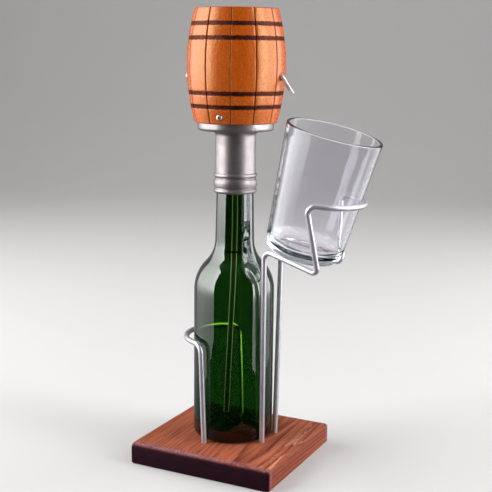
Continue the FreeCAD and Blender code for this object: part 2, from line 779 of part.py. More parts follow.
def carrier_screw_z():
    return web_bottom + CARRIER_SCREW_UP


def make_outlet_carrier():
    """Disc fixed in the barrel: socket for the stem, outlet chamber and spout channel."""
    web, hub = CAVITY_D / 2 - FIT, CARRIER_HUB_D / 2
    socket = STEM_D / 2 + FIT
    groove_low = carrier_bottom + O_RING_UP
    groove_r = socket + O_RING_D + FIT
    profile = [
        (0, web_top),
        (0, chamber_top),
        (socket, chamber_top),
        (socket, groove_low + O_RING_D + 2 * FIT),
        (groove_r, groove_low + O_RING_D + 2 * FIT),
        (groove_r, groove_low),
        (socket, groove_low),
        (socket, carrier_bottom),
        (hub, carrier_bottom, 0.5),
        (hub, web_bottom, 1.5),
        (web, web_bottom, 0.5),
        (web, web_top),
    ]
    carrier = turned(profile)
    pipe = Part.makeCylinder(SPOUT_D / 2 + FIT, CAVITY_D, V(SPOUT_START, 0, spout_z), X)
    port = Part.makeCylinder(SPOUT_BORE_D / 2, SPOUT_START + 1, V(0, 0, spout_z), X)
    tap = Part.makeCylinder(SCREW_D / 2, SCREW_BITE + 1, V(web - SCREW_BITE, 0, carrier_screw_z()), X)
    return carrier.cut([pipe, port, radial(tap, CARRIER_SCREW_ANGLE)])


def make_carrier_o_ring():
    height = carrier_bottom + O_RING_UP + FIT + O_RING_D / 2
    return Part.makeTorus(STEM_D / 2 + FIT + O_RING_D / 2, O_RING_D / 2, V(0, 0, height))


def spout_path():
    """Level through the barrel's wall, then bent down to the tip."""
    fall = math.radians(SPOUT_FALL_ANGLE)
    corner = V(SPOUT_BEND_X + SPOUT_BEND * math.tan(fall / 2), 0, spout_z)
    drop = (SPOUT_TIP_X - corner.x) * math.tan(fall)
    tip = V(SPOUT_TIP_X, 0, spout_z - drop)
    return rounded_edges([V(SPOUT_START, 0, spout_z), corner, tip], [0, SPOUT_BEND, 0], False)


def make_spout():
    return swept(spout_path(), SPOUT_D / 2).cut(swept(spout_path(), SPOUT_BORE_D / 2))


def spout_holes():
    """Close hole through the wood, and a wider mouth that the bent tube passes."""
    close = Part.makeCylinder(SPOUT_D / 2 + FIT, BARREL_D / 2, V(CAVITY_D / 2 - 1, 0, spout_z), X)
    start = barrel_radius(spout_z) - RELIEF_DEPTH
    relief_z = spout_z - RELIEF_DROP
    relief = Part.makeCylinder(RELIEF_D / 2, RELIEF_DEPTH + RELIEF_D, V(start, 0, relief_z), X)
    return [close, relief]


def screw_seat(height):
    """Radius at which a screw's head sits on the barrel."""
    return barrel_radius(height) - SCREW_HEAD_H / 3


def make_screw(height, bite_end):
    """Button-head screw along +X with a hexagonal socket, its tip at bite_end from the axis."""
    seat = screw_seat(height)
    outer, crown = SCREW_HEAD_D / 2, SCREW_HEAD_D / 3.2
    dome = [
        V(seat, 0, 0),
        V(seat, outer, 0),
        V(seat + SCREW_HEAD_H * 0.3, outer, 0),
    ]
    top = V(seat + SCREW_HEAD_H, crown * 0.55, 0)
    middle = V(seat + SCREW_HEAD_H * 0.82, outer * 0.72, 0)
    edges = [Part.LineSegment(dome[0], dome[1]).toShape(), Part.LineSegment(dome[1], dome[2]).toShape()]
    edges.append(Part.Arc(dome[2], middle, top).toShape())
    centre = V(seat + SCREW_HEAD_H, 0, 0)
    edges += [Part.LineSegment(top, centre).toShape(), Part.LineSegment(centre, dome[0]).toShape()]
    head = Part.Face(Part.Wire(edges)).revolve(ORIGIN, X, 360)
    shank = Part.makeCylinder(SCREW_D / 2, seat - bite_end, V(bite_end, 0, 0), X)
    depth = V(seat + SCREW_HEAD_H - SCREW_SOCKET_DEPTH, 0, 0)
    corners = []
    for k in range(7):
        angle = math.radians(60 * k)
        corners.append(depth + V(0, math.cos(angle), math.sin(angle)) * (SCREW_SOCKET_D / 2))
    socket = Part.Face(Part.makePolygon(corners)).extrude(X * (SCREW_SOCKET_DEPTH + 1))
    screw = head.fuse(shank).cut(socket).removeSplitter()
    screw.translate(V(0, 0, height))
    return screw


def screw_hole(height, angle):
    """Clearance hole through the barrel's wall and a shallow seat for the head."""
    seat = screw_seat(height)
    hole = Part.makeCylinder(SCREW_D / 2 + FIT, BARREL_D, V(CAVITY_D / 2 - 1, 0, height), X)
    sink = Part.makeCylinder(SCREW_HEAD_D / 2 + 2 * FIT, BARREL_D, V(seat, 0, height), X)
    return radial(hole.fuse(sink), angle)


def flange_screw_hole(angle):
    return screw_hole(barrel_bottom + FLANGE_SCREW_UP, angle)


def carrier_screw_hole():
    return screw_hole(carrier_screw_z(), CARRIER_SCREW_ANGLE)


def make_flange_screws():
    bite_end = CAVITY_D / 2 - FIT - SPIGOT_RING_T
    screw = make_screw(barrel_bottom + FLANGE_SCREW_UP, bite_end)
    return Part.makeCompound([radial(screw, angle) for angle in FLANGE_SCREW_ANGLES])


def make_carrier_screw():
    screw = make_screw(carrier_screw_z(), CAVITY_D / 2 - FIT - SCREW_BITE + 1)
    return radial(screw, CARRIER_SCREW_ANGLE)


PIECES = {
    "base_board": make_base_board,
    "bottle_hoop": make_bottle_hoop,
    "glass_cradle": make_glass_cradle,
    "bottle": make_bottle,
    "tumbler": make_tumbler,
    "rubber_stopper": make_rubber_stopper,
    "pump_cylinder": make_pump_cylinder,
    "inlet_retainer": make_inlet_retainer,
    "dip_tube": make_dip_tube,
    "gland_washer": make_gland_washer,
    "gland_cap": make_gland_cap,
    "inlet_ball": lambda: make_ball(INLET_BALL_D, inlet_ball_z),
    "pump_stem": make_pump_stem,
    "stem_collar": make_stem_collar,
    "piston": make_piston,
    "piston_cup": make_piston_cup,
    "return_spring": make_return_spring,
    "outlet_ball": lambda: make_ball(OUTLET_BALL_D, outlet_ball_z),
    "barrel": make_barrel,
    "cask_head": make_cask_head,
    "flanged_sleeve": make_flanged_sleeve,
    "outlet_carrier": make_outlet_carrier,
    "carrier_o_ring": make_carrier_o_ring,
    "spout": make_spout,
    "flange_screws": make_flange_screws,
    "carrier_screw": make_carrier_screw,
}


def main():
    os.makedirs("parts", exist_ok=True)
    for name, make in PIECES.items():
        shape = make()
        shape.exportStep(os.path.join("parts", name + ".step"))
        box = shape.BoundBox
        print("%-16s solids %d valid %s volume %9.1f  z %.1f to %.1f" % (
            name, len(shape.Solids), shape.isValid(), shape.Volume, box.ZMin, box.ZMax))


main()
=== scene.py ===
"""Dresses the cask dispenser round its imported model: pieces, finishes, floor, light and camera."""
import json
import math

import bmesh
import bpy
from bpy.props import FloatProperty, FloatVectorProperty, IntProperty, PointerProperty
from mathutils import Matrix, Vector, noise

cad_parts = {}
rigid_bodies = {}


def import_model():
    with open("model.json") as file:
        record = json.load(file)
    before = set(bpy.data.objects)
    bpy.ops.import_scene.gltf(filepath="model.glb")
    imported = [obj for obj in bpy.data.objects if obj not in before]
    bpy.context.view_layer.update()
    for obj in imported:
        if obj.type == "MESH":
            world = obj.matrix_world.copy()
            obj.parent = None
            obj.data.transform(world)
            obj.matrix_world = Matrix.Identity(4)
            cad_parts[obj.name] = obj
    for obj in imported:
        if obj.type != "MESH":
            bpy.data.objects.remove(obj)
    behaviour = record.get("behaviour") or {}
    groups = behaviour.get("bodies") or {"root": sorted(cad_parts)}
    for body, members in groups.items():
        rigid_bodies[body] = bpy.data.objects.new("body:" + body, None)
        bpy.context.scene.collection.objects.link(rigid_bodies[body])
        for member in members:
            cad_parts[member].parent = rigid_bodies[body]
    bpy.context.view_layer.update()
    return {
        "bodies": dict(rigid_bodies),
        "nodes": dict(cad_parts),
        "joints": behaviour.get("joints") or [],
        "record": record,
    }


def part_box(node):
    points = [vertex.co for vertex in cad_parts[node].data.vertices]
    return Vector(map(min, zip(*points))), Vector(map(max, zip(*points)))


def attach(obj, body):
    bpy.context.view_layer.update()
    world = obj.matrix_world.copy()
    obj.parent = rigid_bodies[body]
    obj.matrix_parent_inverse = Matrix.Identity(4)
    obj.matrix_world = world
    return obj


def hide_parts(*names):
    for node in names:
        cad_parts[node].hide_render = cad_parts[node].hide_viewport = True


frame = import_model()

bl_info = {
    "name": "Cask Dispenser",
    "version": (1, 0, 0),
    "blender": (4, 5, 0),
    "location": "View3D > Sidebar > Dispenser",
    "description": "Builds the visible pieces and finishes of a cask-topped bottle pump on a wire stand",
    "category": "Object",
}

MM = 0.001
TAU = 2 * math.pi
SHARP = math.radians(38)          # edges sharper than this stay hard
FINE = math.radians(6)            # step along a rounded corner


# ---------------------------------------------------------------- settings
def size(name, millimetres, description, least=0.0):
    return FloatProperty(name=name, description=description, default=millimetres * MM,
                         min=least, precision=5, unit="LENGTH", subtype="DISTANCE")


def number(name, value, description):
    return FloatProperty(name=name, description=description, default=value)


def turn(name, degrees, description):
    return FloatProperty(name=name, description=description, default=math.radians(degrees),
                         unit="ROTATION", subtype="ANGLE")


def tint(name, colour, description):
    return FloatVectorProperty(name=name, description=description, default=colour,
                               size=3, min=0.0, max=1.0, subtype="COLOR")


class BoardSettings(bpy.types.PropertyGroup):
    length: size("Length", 115.0, "Size along X")
    width: size("Width", 111.0, "Size along Y, with the grain")
    thick: size("Thickness", 16.0, "Height of the board")
    shift_x: size("Shift X", 1.6, "Board's centre from the bottle's axis along X", -1.0)
    shift_y: size("Shift Y", -4.0, "Board's centre from the bottle's axis along Y", -1.0)
    end_round: size("End rounding", 4.5, "Radius of the top edges across the grain")
    side_round: size("Side rounding", 1.8, "Radius of the other top edges and the corners")
    ease: size("Ease", 0.8, "Bevel round the underside")
    light: tint("Light stain", (0.38, 0.106, 0.051), "Colour of the soft grain")
    dark: tint("Dark stain", (0.075, 0.0130, 0.0095), "Colour of the hard grain")
    # end grain: darker stain on the faces across the grain, deepened with painted shade of the face
    # turned from the lights
    end_grain_and_shade: tint("End grain", (0.0095, 0.0012, 0.0040), "Colour of the faces across the grain")


class WireSettings(bpy.types.PropertyGroup):
    thick: size("Wire", 4.0, "Diameter of the bent wire")
    sunk: size("Sunk", 11.0, "Length of each leg let into the board")
    hoop_height: size("Hoop height", 76.0, "Centre of the hoop's loop over the board")
    hoop_bend: size("Hoop bend", 7.0, "Bend radius between the legs and the loop")
    post_bend: size("Post bend", 5.0, "Bend radius at the top of the posts")
    turn_bend: size("Turn bend", 4.0, "Bend radius where the runs turn up beside the tumbler")
    steel: tint("Steel", (0.60, 0.58, 0.64), "Colour of the polished wire")


class BottleSettings(bpy.types.PropertyGroup):
    across: size("Diameter", 60.6, "Outer diameter of the body")
    tall: size("Height", 226.0, "Height from foot to mouth")
    wall: size("Wall", 3.0, "Thickness of the glass")
    ripple: size("Ripple", 0.14, "Unevenness of the inner wall")
    density: number("Density", 620.0, "How quickly the glass takes light away")
    colour: tint("Glass", (0.24, 0.62, 0.02), "Colour that the glass lets through")
    far_side: tint("Far side", (0.003, 0.018, 0.0025), "Tint of what is seen right through the bottle")
    shadow: tint("Shadow", (0.16, 0.42, 0.12), "Tint of the bottle's shadow")


class TumblerSettings(bpy.types.PropertyGroup):
    base_x: size("Base X", 54.9, "Base's centre from the bottle's axis")
    base_z: size("Base height", 144.7, "Base's centre over the board")
    tilt: turn("Tilt", 14.5, "Lean away from the bottle")
    tall: size("Height", 93.6, "Length along the axis")
    base_radius: size("Base radius", 28.0, "Outer radius where the wall would meet the base")
    rim_radius: size("Rim radius", 35.0, "Outer radius at the rim")
    wall: size("Wall", 2.2, "Thickness of the wall")
    floor: size("Floor", 8.0, "Thickness of the base")
    heel: size("Heel", 9.0, "Rounding of the base's corner")
    density: number("Density", 9.0, "How quickly the glass takes light away")
    colour: tint("Glass", (0.70, 0.92, 0.95), "Colour that the glass lets through")


class CaskSettings(bpy.types.PropertyGroup):
    across: size("Belly", 72.3, "Largest diameter")
    end: size("Ends", 60.8, "Diameter at both ends")
    low: size("Underside", 255.1, "Height of the lower end")
    tall: size("Height", 81.5, "Length of the cask")
    edge: size("Edge", 1.1, "Rounding of both end edges")
    staves: IntProperty(name="Staves", description="Number of grooves round the cask", default=12)
    first: turn("First groove", -10.0, "Angle of the first groove from the spout")
    groove_deep: size("Groove depth", 0.6, "Depth of the grooves")
    band_wide: size("Band width", 3.3, "Width of the burnt bands")
    band_deep: size("Band depth", 0.22, "Depth of the burnt bands")
    oak: tint("Varnished wood", (0.45, 0.078, 0.0008), "Main colour of the wood")
    oak_deep: tint("Deep wood", (0.26, 0.036, 0.0004), "Colour of the darker grain")
    burnt: tint("Burnt wood", (0.024, 0.003, 0.007), "Colour of the bands")


class CollarSettings(bpy.types.PropertyGroup):
    flange: size("Flange", 56.4, "Diameter of the flange")
    flange_thick: size("Flange thickness", 6.0, "Height of the flange")
    tube_top: size("Tube top", 30.2, "Diameter under the flange")
    tube_low: size("Tube bottom", 30.5, "Diameter at the ridged end")
    ring: size("Ridges", 32.6, "Diameter over the ridges")
    bore: size("Bore", 28.6, "Inner diameter")
    length: size("Length", 45.9, "Length below the flange")
    metal: tint("Metal", (0.335, 0.300, 0.302), "Colour of the satin metal")


class StageSettings(bpy.types.PropertyGroup):
    floor: tint("Floor", (0.57, 0.563, 0.56), "Colour of the floor")
    left: number("Left light", 40.0, "Power of the tall light at the left, in watts")
    right: number("Right light", 17.0, "Power of the tall lights at the right, in watts")
    side: number("Side light", 4.5, "Power of each soft light at the sides, in watts")
    top: number("Top light", 1.6, "Power of the soft light overhead, in watts")
    backdrop: number("Backdrop light", 13.0, "Power of the light that evens the backdrop, in watts")
    fill: number("Fill", 0.11, "Strength of the light from all round")
    lens: number("Lens", 75.03, "Focal length in millimetres")


GROUPS = {
    "dispenser_board": BoardSettings,
    "dispenser_wire": WireSettings,
    "dispenser_bottle": BottleSettings,
    "dispenser_tumbler": TumblerSettings,
    "dispenser_cask": CaskSettings,
    "dispenser_collar": CollarSettings,
    "dispenser_stage": StageSettings,
}


def settings(name):
    return getattr(bpy.context.scene, "dispenser_" + name)


# ---------------------------------------------------------------- lines and meshes
def arc(centre, start, end, step=FINE):
    """Points from start to end round a centre, the shorter way."""
    a, b = start - centre, end - centre
    angle = a.angle(b)
    count = max(2, math.ceil(angle / step))
    points = []
    for k in range(count + 1):
        share = k / count
        points.append(centre + (a * math.sin((1 - share) * angle) + b * math.sin(share * angle))
                      / math.sin(angle))
    return points


def rounded(corners, step=FINE):
    """Run of points through (point, radius) corners, with an arc at each corner that has a radius."""
    run = [corners[0][0]]
    for (before, _), (here, radius), (after, _) in zip(corners, corners[1:], corners[2:]):
        if radius <= 0:
            run.append(here)
            continue
        a, b = (before - here).normalized(), (after - here).normalized()
        half = a.angle(b) / 2
        centre = here + (a + b).normalized() * (radius / math.sin(half))
        reach = radius / math.tan(half)
        run += arc(centre, here + a * reach, here + b * reach, step)
    run.append(corners[-1][0])
    return run


def outline(points, step=FINE, closed=False):
    """(radius, height) pairs in metres from (radius, height[, rounding]) in millimetres."""
    corners = [(Vector((p[0], 0, p[1])) * MM, (p[2] if len(p) > 2 else 0) * MM) for p in points]
    if closed:
        corners = [corners[-1]] + corners + [corners[0]]
        run = rounded(corners, step)[1:-1]
    else:
        run = rounded(corners, step)
    return [(p.x, p.z) for p in run]


def divided(pairs, longest):
    """The same outline with no step longer than a given length."""
    out = [pairs[0]]
    for (r0, z0), (r1, z1) in zip(pairs, pairs[1:]):
        count = max(1, math.ceil(math.hypot(r1 - r0, z1 - z0) / longest))
        out += [(r0 + (r1 - r0) * k / count, z0 + (z1 - z0) * k / count) for k in range(1, count + 1)]
    return out


def joined(rings):
    """Faces between each ring of vertex numbers and the next, less corners that fall together."""
    faces = []
    for low, high in zip(rings, rings[1:]):
        for k in range(len(low)):
            j = (k + 1) % len(low)
            corners = [low[k], low[j], high[j], high[k]]
            kept = [c for i, c in enumerate(corners) if c not in corners[:i]]
            if len(kept) > 2:
                faces.append(kept)
    return faces


def new_piece(name, vertices, faces, sharp=SHARP):
    mesh = bpy.data.meshes.new(name)
    mesh.from_pydata(vertices, [], faces)
    mesh.update()
    piece = bpy.data.objects.new(name, mesh)
    bpy.context.scene.collection.objects.link(piece)
    smooth(mesh, sharp)
    return piece


def smooth(mesh, sharp):
    """Joins doubled corners, turns the faces outwards and shades all but the sharp edges smooth."""
    work = bmesh.new()
    work.from_mesh(mesh)
    bmesh.ops.remove_doubles(work, verts=work.verts, dist=1e-6)
    bmesh.ops.recalc_face_normals(work, faces=work.faces)
    work.to_mesh(mesh)
    work.free()
    mesh.shade_smooth()
    mesh.set_sharp_from_angle(angle=sharp)


def lathe(name, pairs, turns, closed=False, shape=None, sharp=SHARP, angles=None):
    """Piece turned about Z. shape may move a point, given its radius, angle and height."""
    angles = angles or [TAU * k / turns for k in range(turns)]
    count = len(angles)
    vertices, rings = [], []
    for r, z in pairs:
        if r < 1e-7:
            vertices.append((0, 0, z))
            rings.append([len(vertices) - 1] * count)
            continue
        ring = []
        for angle in angles:
            near = shape(r, angle, z) if shape else r
            vertices.append((near * math.cos(angle), near * math.sin(angle), z))
            ring.append(len(vertices) - 1)
        rings.append(ring)
    return new_piece(name, vertices, joined(rings + rings[:1] if closed else rings), sharp)


def bar(name, path, radius, sides=24, bore=None):
    """Round wire along a path with its ends eased. A bore makes it a tube."""
    vertices, tangents = [], []
    for k in range(len(path)):
        before, after = path[max(k - 1, 0)], path[min(k + 1, len(path) - 1)]
        tangents.append((after - before).normalized())
    side = tangents[0].orthogonal().normalized()
    frames = []
    for k, tangent in enumerate(tangents):
        if k:
            side = (tangents[k - 1].rotation_difference(tangent) @ side).normalized()
        side = (side - tangent * side.dot(tangent)).normalized()
        frames.append((path[k], tangent, side, tangent.cross(side)))
    ease = radius * 0.12

    def ring(frame, r, shift=0.0):
        centre, tangent, a, b = frame
        start = len(vertices)
        for k in range(sides):
            angle = TAU * k / sides
            out = a * math.cos(angle) + b * math.sin(angle)
            vertices.append(centre + tangent * shift + out * r)
        return list(range(start, start + sides))

    rings = [ring(frames[0], radius - ease), ring(frames[0], radius, ease)]
    rings += [ring(f, radius) for f in frames[1:-1]]
    rings += [ring(frames[-1], radius, -ease), ring(frames[-1], radius - ease)]
    if bore:
        rings += [ring(f, bore) for f in reversed(frames)]
        rings.append(rings[0])
    caps = [] if bore else [rings[0][::-1], rings[-1]]
    return new_piece(name, vertices, joined(rings) + caps)


def mirrored(points):
    return [Vector((p.x, -p.y, p.z)) for p in reversed(points)]


def drilled(piece, cutters, sharp=SHARP):
    """Cuts the cutters out of the piece and removes them."""
    for cutter in cutters:
        cut = piece.modifiers.new("Cut", "BOOLEAN")
        cut.operation, cut.solver, cut.object = "DIFFERENCE", "EXACT", cutter
    bpy.context.view_layer.update()
    result = bpy.data.meshes.new_from_object(piece.evaluated_get(bpy.context.evaluated_depsgraph_get()))
    old, name = piece.data, piece.name
    piece.modifiers.clear()
    piece.data = result
    bpy.data.meshes.remove(old)
    result.name = name
    result.materials.clear()
    smooth(result, sharp)
    for cutter in cutters:
        bpy.data.objects.remove(cutter)
    return piece


def rod(start, direction, length, radius, sides=32):
    """Plain cutter for a round hole."""
    path = [start, start + direction.normalized() * length]
    return bar("cutter", path, radius, sides)


def finish_piece(piece, body, slot, node, look=None):
    """Gives a piece its finish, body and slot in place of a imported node."""
    piece.data.materials.append(finish(look or slot))
    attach(piece, body)
    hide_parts(node)


def dress_node(node, material):
    """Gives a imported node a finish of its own."""
    mesh = frame["nodes"][node].data
    mesh.materials.clear()
    mesh.materials.append(material)
    for face in mesh.polygons:
        face.material_index = 0


# ---------------------------------------------------------------- node helpers
class Signal:
    """A node's output to calculate with: every operation adds a node to its tree."""

    def __init__(self, socket):
        self.socket, self.tree = socket, socket.id_data

    def math(self, operation, *values):
        return signal(self.tree, "Math", (self, *values), operation=operation)

    def __add__(self, other):
        return self.math("ADD", other)

    def __sub__(self, other):
        return self.math("SUBTRACT", other)

    def __rsub__(self, other):
        return signal(self.tree, "Math", (other, self), operation="SUBTRACT")

    def __mul__(self, other):
        return self.math("MULTIPLY", other)

    def __abs__(self):
        return self.math("ABSOLUTE")

    def larger(self, other):
        return self.math("MAXIMUM", other)

    def clamped(self):
        return signal(self.tree, "Clamp", (self,))

    def ramp(self, low, high, out_low=0.0, out_high=1.0, kind="LINEAR"):
        """Change from out_low to out_high as this goes from low to high."""
        given = {"Value": self, "From Min": low, "From Max": high, "To Min": out_low, "To Max": out_high}
        return signal(self.tree, "MapRange", given, interpolation_type=kind)

    def step(self, low, high, out_low=0.0, out_high=1.0):
        """The same with smooth ends."""
        return self.ramp(low, high, out_low, out_high, "SMOOTHSTEP")

    def mix(self, first, second):
        """First colour where this is 0, second where it is 1."""
        return signal(self.tree, "Mix", {0: self, 6: first, 7: second}, 2, data_type="RGBA")

    def bump(self, strength, distance):
        return signal(self.tree, "Bump", {"Height": self, "Strength": strength, "Distance": distance})

    def parts(self):
        """X, Y and Z of a vector."""
        return [Signal(socket) for socket in add_node(self.tree, "SeparateXYZ", (self,)).outputs]

    def vector(self, operation, *values, output="Vector"):
        return signal(self.tree, "VectorMath", (self, *values), output, operation=operation)

    def towards(self, direction):
        return self.vector("DOT_PRODUCT", direction, output="Value")

    def stretched(self, *scale):
        return signal(self.tree, "Mapping", {"Vector": self, "Scale": scale})

    def turned(self, axis, angle):
        return signal(self.tree, "VectorRotate", {"Vector": self, "Angle": angle},
                      rotation_type=axis + "_AXIS")

    def speckle(self, scale, detail=3.0, rough=0.55, distortion=0.0):
        given = {"Vector": self, "Scale": scale, "Detail": detail, "Roughness": rough,
                 "Distortion": distortion}
        return signal(self.tree, "TexNoise", given)


def connect(value, target):
    """Links an input to a signal, or sets it to a value."""
    if isinstance(value, Signal):
        value.tree.links.new(value.socket, target)
    else:
        target.default_value = value


def add_node(tree, kind, inputs=(), **options):
    node = tree.nodes.new("ShaderNode" + kind)
    for key, value in options.items():
        setattr(node, key, value)
    for key, value in (inputs.items() if isinstance(inputs, dict) else enumerate(inputs)):
        connect(value, node.inputs[key])
    return node


def signal(tree, kind, inputs=(), output=0, **options):
    """One output of a new node."""
    return Signal(add_node(tree, kind, inputs, **options).outputs[output])


def outputs(node):
    return {socket.name: Signal(socket) for socket in node.outputs if socket.name}


def feed(node, **values):
    """Connects a node's inputs, named with underscores for spaces."""
    for key, value in values.items():
        connect(value, node.inputs[key.replace("_", " ")])


def placed(group, vector, **values):
    """Puts a group where the vector is and gives its outputs."""
    node = vector.tree.nodes.new("ShaderNodeGroup")
    node.node_tree = bpy.data.node_groups[group]
    feed(node, Vector=vector, **values)
    return outputs(node)


def rgba(colour):
    return (*colour[:3], 1.0)


def scaled(colour, factor, added=0.0):
    """The colour made lighter or darker, at most white."""
    return rgba([min(1.0, c * factor + added) for c in colour])


def new_group(name, values, results):
    """Node group that takes a vector and named values, each with its default."""
    tree = bpy.data.node_groups.new(name, "ShaderNodeTree")
    tree.interface.new_socket("Vector", in_out="INPUT", socket_type="NodeSocketVector")
    for label, value in values.items():
        socket = tree.interface.new_socket(label, in_out="INPUT", socket_type="NodeSocketFloat")
        socket.default_value = value
    for label in results:
        tree.interface.new_socket(label, in_out="OUTPUT", socket_type="NodeSocketFloat")
    return tree, outputs(tree.nodes.new("NodeGroupInput")), tree.nodes.new("NodeGroupOutput")


def build_groups():
    """The effects that several finishes share."""
    tree, given, out = new_group(
        "Wood Fibre", {"Fibre Scale": 900.0, "Stretch": 0.06, "Mottle Scale": 260.0},
        ("Fibre", "Mottle", "Broad"))
    scale = signal(tree, "CombineXYZ", (1.0, 1.0, given["Stretch"]))
    lengthwise = given["Vector"].vector("MULTIPLY", scale)
    feed(out, Fibre=lengthwise.speckle(given["Fibre Scale"], 4.0, 0.6, 0.2),
         Mottle=given["Vector"].speckle(given["Mottle Scale"], 5.0, 0.62),
         Broad=lengthwise.speckle(60.0, 2.0, 0.5, 0.6))

    tree, given, out = new_group("Smudges", {"Scale": 60.0, "Low": 0.1, "High": 0.3},
                                 ("Roughness", "Mask"))
    mask = given["Vector"].speckle(given["Scale"], 4.0, 0.6, 0.4).step(0.35, 0.72)
    feed(out, Roughness=mask * (given["High"] - given["Low"]) + given["Low"], Mask=mask)

    tree, given, out = new_group("Turned Lines", {"Scale": 4000.0}, ("Lines",))
    flat = given["Vector"].vector("MULTIPLY", (0.02, 0.02, 1.0))
    feed(out, Lines=flat.speckle(given["Scale"], 3.0, 0.7))


def new_material(name):
    """A material with its shader and the piece's own coordinates."""
    material = bpy.data.materials.new(name)
    material.use_nodes = True
    tree = material.node_tree
    return material, tree.nodes["Principled BSDF"], signal(tree, "TexCoord", output="Object")


# ---------------------------------------------------------------- finishes
SCUFFED_WOOD = (0.56, 0.27, 0.165, 1)
# dark and light of the painted highlight along the board's rounded end edge, broken by scratches
SCRATCHED_EDGE_HIGHLIGHT = (0.07, 0.020, 0.030, 1), (0.33, 0.155, 0.18, 1)
ASH = (0.16, 0.045, 0.050, 1)
GROOVE = (0.035, 0.006, 0.006, 1), (0.12, 0.024, 0.012, 1)
# colours of the painted highlights that the wires and the dip tube give off where they are seen through
# glass
WIRE_PAINTED_HIGHLIGHT = (1.0, 0.28, 0.42)
TUBE_PAINTED_HIGHLIGHT = (1.0, 0.80, 0.75)


def stained_board_finish():
    """Brushed softwood with its grain along Y under a red-brown stain, darkest across the grain, where
    the darker end grain also carries painted shade.
    """
    own = settings("board")
    material, shader, place = new_material("Stained board")
    x, y, z = place.parts()
    drift = place.stretched(1.0, 0.25, 1.0).speckle(22.0, 2.0, 0.5)
    slow = place.stretched(1.0, 0.12, 1.0).speckle(9.0, 1.0, 0.5)
    across = x + y * 0.10 + (slow * 0.05 - 0.052)
    down = z + (drift * 0.014 + 0.018)
    ring = ((across * across + down * down).math("SQRT") * 400.0).math("FRACT")
    late = ring.step(0.30, 0.90) * ring.step(1.0, 0.92)
    fibre = placed("Wood Fibre", place.turned("X", math.radians(90)),
                   Fibre_Scale=1100.0, Stretch=0.045, Mottle_Scale=160.0)
    broken = late * fibre["Broad"].step(0.34, 0.62)
    streak = fibre["Fibre"] * 2.2 - 0.80
    colour = (broken * 0.70 + streak * 0.75).clamped().mix(rgba(own.light), rgba(own.dark))
    colour = (fibre["Broad"].step(0.50, 0.72) * 0.35).mix(colour, scaled(own.light, 1.5, 0.02))

    # scuffs along the top beside the near long edge, and the darker flanks
    side = own.length / 2
    beside = x - own.shift_x
    scuff = place.stretched(1.0, 0.22, 1.0).speckle(330.0, 3.0, 0.6).step(0.52, 0.62)
    near = beside.step(side - 12 * MM, side - 7 * MM) * beside.step(side, side - 2 * MM)
    colour = (scuff * near * 0.75).mix(colour, SCUFFED_WOOD)
    flank = abs(beside).step(side - 1.4 * MM, side - 0.4 * MM)
    colour = (flank * 0.45).mix(colour, rgba(own.dark))

    # painted highlight along the rounding above the end grain, broken by scratches and stronger towards
    # -X
    face = own.width / 2
    out = abs(y - own.shift_y)
    end = out.step(face - 2.4 * MM, face - 0.4 * MM)
    rim = out.step(face - 6.2 * MM, face - 4 * MM) * out.step(face - 0.3 * MM, face - 2.2 * MM)
    scrape = place.turned("Z", 0.6).stretched(1.0, 0.10, 1.0).speckle(1500.0, 3.0, 0.65)
    worn = scrape.step(0.35, 0.65).mix(*SCRATCHED_EDGE_HIGHLIGHT)
    colour = (rim * beside.step(-20 * MM, 50 * MM, 0.85, 0.45)).mix(colour, worn)
    # the end faces take the end grain colour: partly its darker stain, partly painted shade
    end_tone_and_shade = (fibre["Mottle"] * 1.3 - 0.25).mix(rgba(own.end_grain_and_shade), scaled(own.end_grain_and_shade, 2.4))
    feed(shader, Base_Color=end.mix(colour, end_tone_and_shade), Specular_IOR_Level=0.08,
         Roughness=(fibre["Fibre"] * 0.2 + 0.46) + end * 0.15,
         Normal=(broken * 0.6 + fibre["Fibre"] * 0.5).bump(0.5, 0.3 * MM))
    return material


def steel_finish(name, colour, low, high, lines=0.0, metal=1.0, glow=0.0):
    """Bare metal with faint smudges, and turned lines if asked for. Glow adds a painted highlight: light
    the metal gives off where it is seen through glass.
    """
    material, shader, place = new_material(name)
    smudge = placed("Smudges", place, Scale=90.0, Low=low, High=high)
    tone = smudge["Mask"].mix(rgba(colour), scaled(colour, 0.82))
    if lines:
        normal = placed("Turned Lines", place, Scale=2600.0)["Lines"].bump(lines, 0.12 * MM)
    else:
        normal = place.speckle(700.0, 2.0).bump(0.04, 0.1 * MM)
    feed(shader, Base_Color=tone, Metallic=metal, Roughness=smudge["Roughness"], Normal=normal)
    if glow:
        painted_glow_behind_glass(shader, glow, WIRE_PAINTED_HIGHLIGHT, painted_highlight_strips(place))
    return material


def painted_highlight_strips(place):
    """Painted highlight: one thin strip along the upper side of a level wire and one down the side of an
    upright one.
    """
    normal = outputs(add_node(place.tree, "NewGeometry"))["Normal"]
    height = place.parts()[2]
    above = normal.towards((0.22, -0.45, 0.865))
    beside = normal.towards((0.766, -0.643, 0.0))
    upright = beside.step(0.91, 0.99) * height.step(90 * MM, 83 * MM)
    upright = upright * height.step(20 * MM, 85 * MM, 0.20, 0.85)
    return above.step(0.82, 0.95).larger(upright)


def painted_rim_highlights(place):
    """Painted highlights on both edges of a clear tube, fading downwards."""
    rim = signal(place.tree, "LayerWeight", {"Blend": 0.5}, "Facing")
    fade = place.parts()[2].step(20 * MM, 160 * MM, 0.22, 1.0)
    return rim.step(0.40, 0.95, 0.01, 1.0) * fade


def painted_glow_behind_glass(shader, strength, colour, shape):
    """Painted light: extra light given off by a piece, though it is no lamp, where it is seen straight
    through glass.
    """
    path = outputs(add_node(shape.tree, "LightPath"))
    through = path["Transmission Depth"].math("GREATER_THAN", 0.5)
    straight = path["Diffuse Depth"].math("LESS_THAN", 0.5)
    feed(shader, Emission_Color=rgba(colour), Emission_Strength=through * straight * shape * strength)


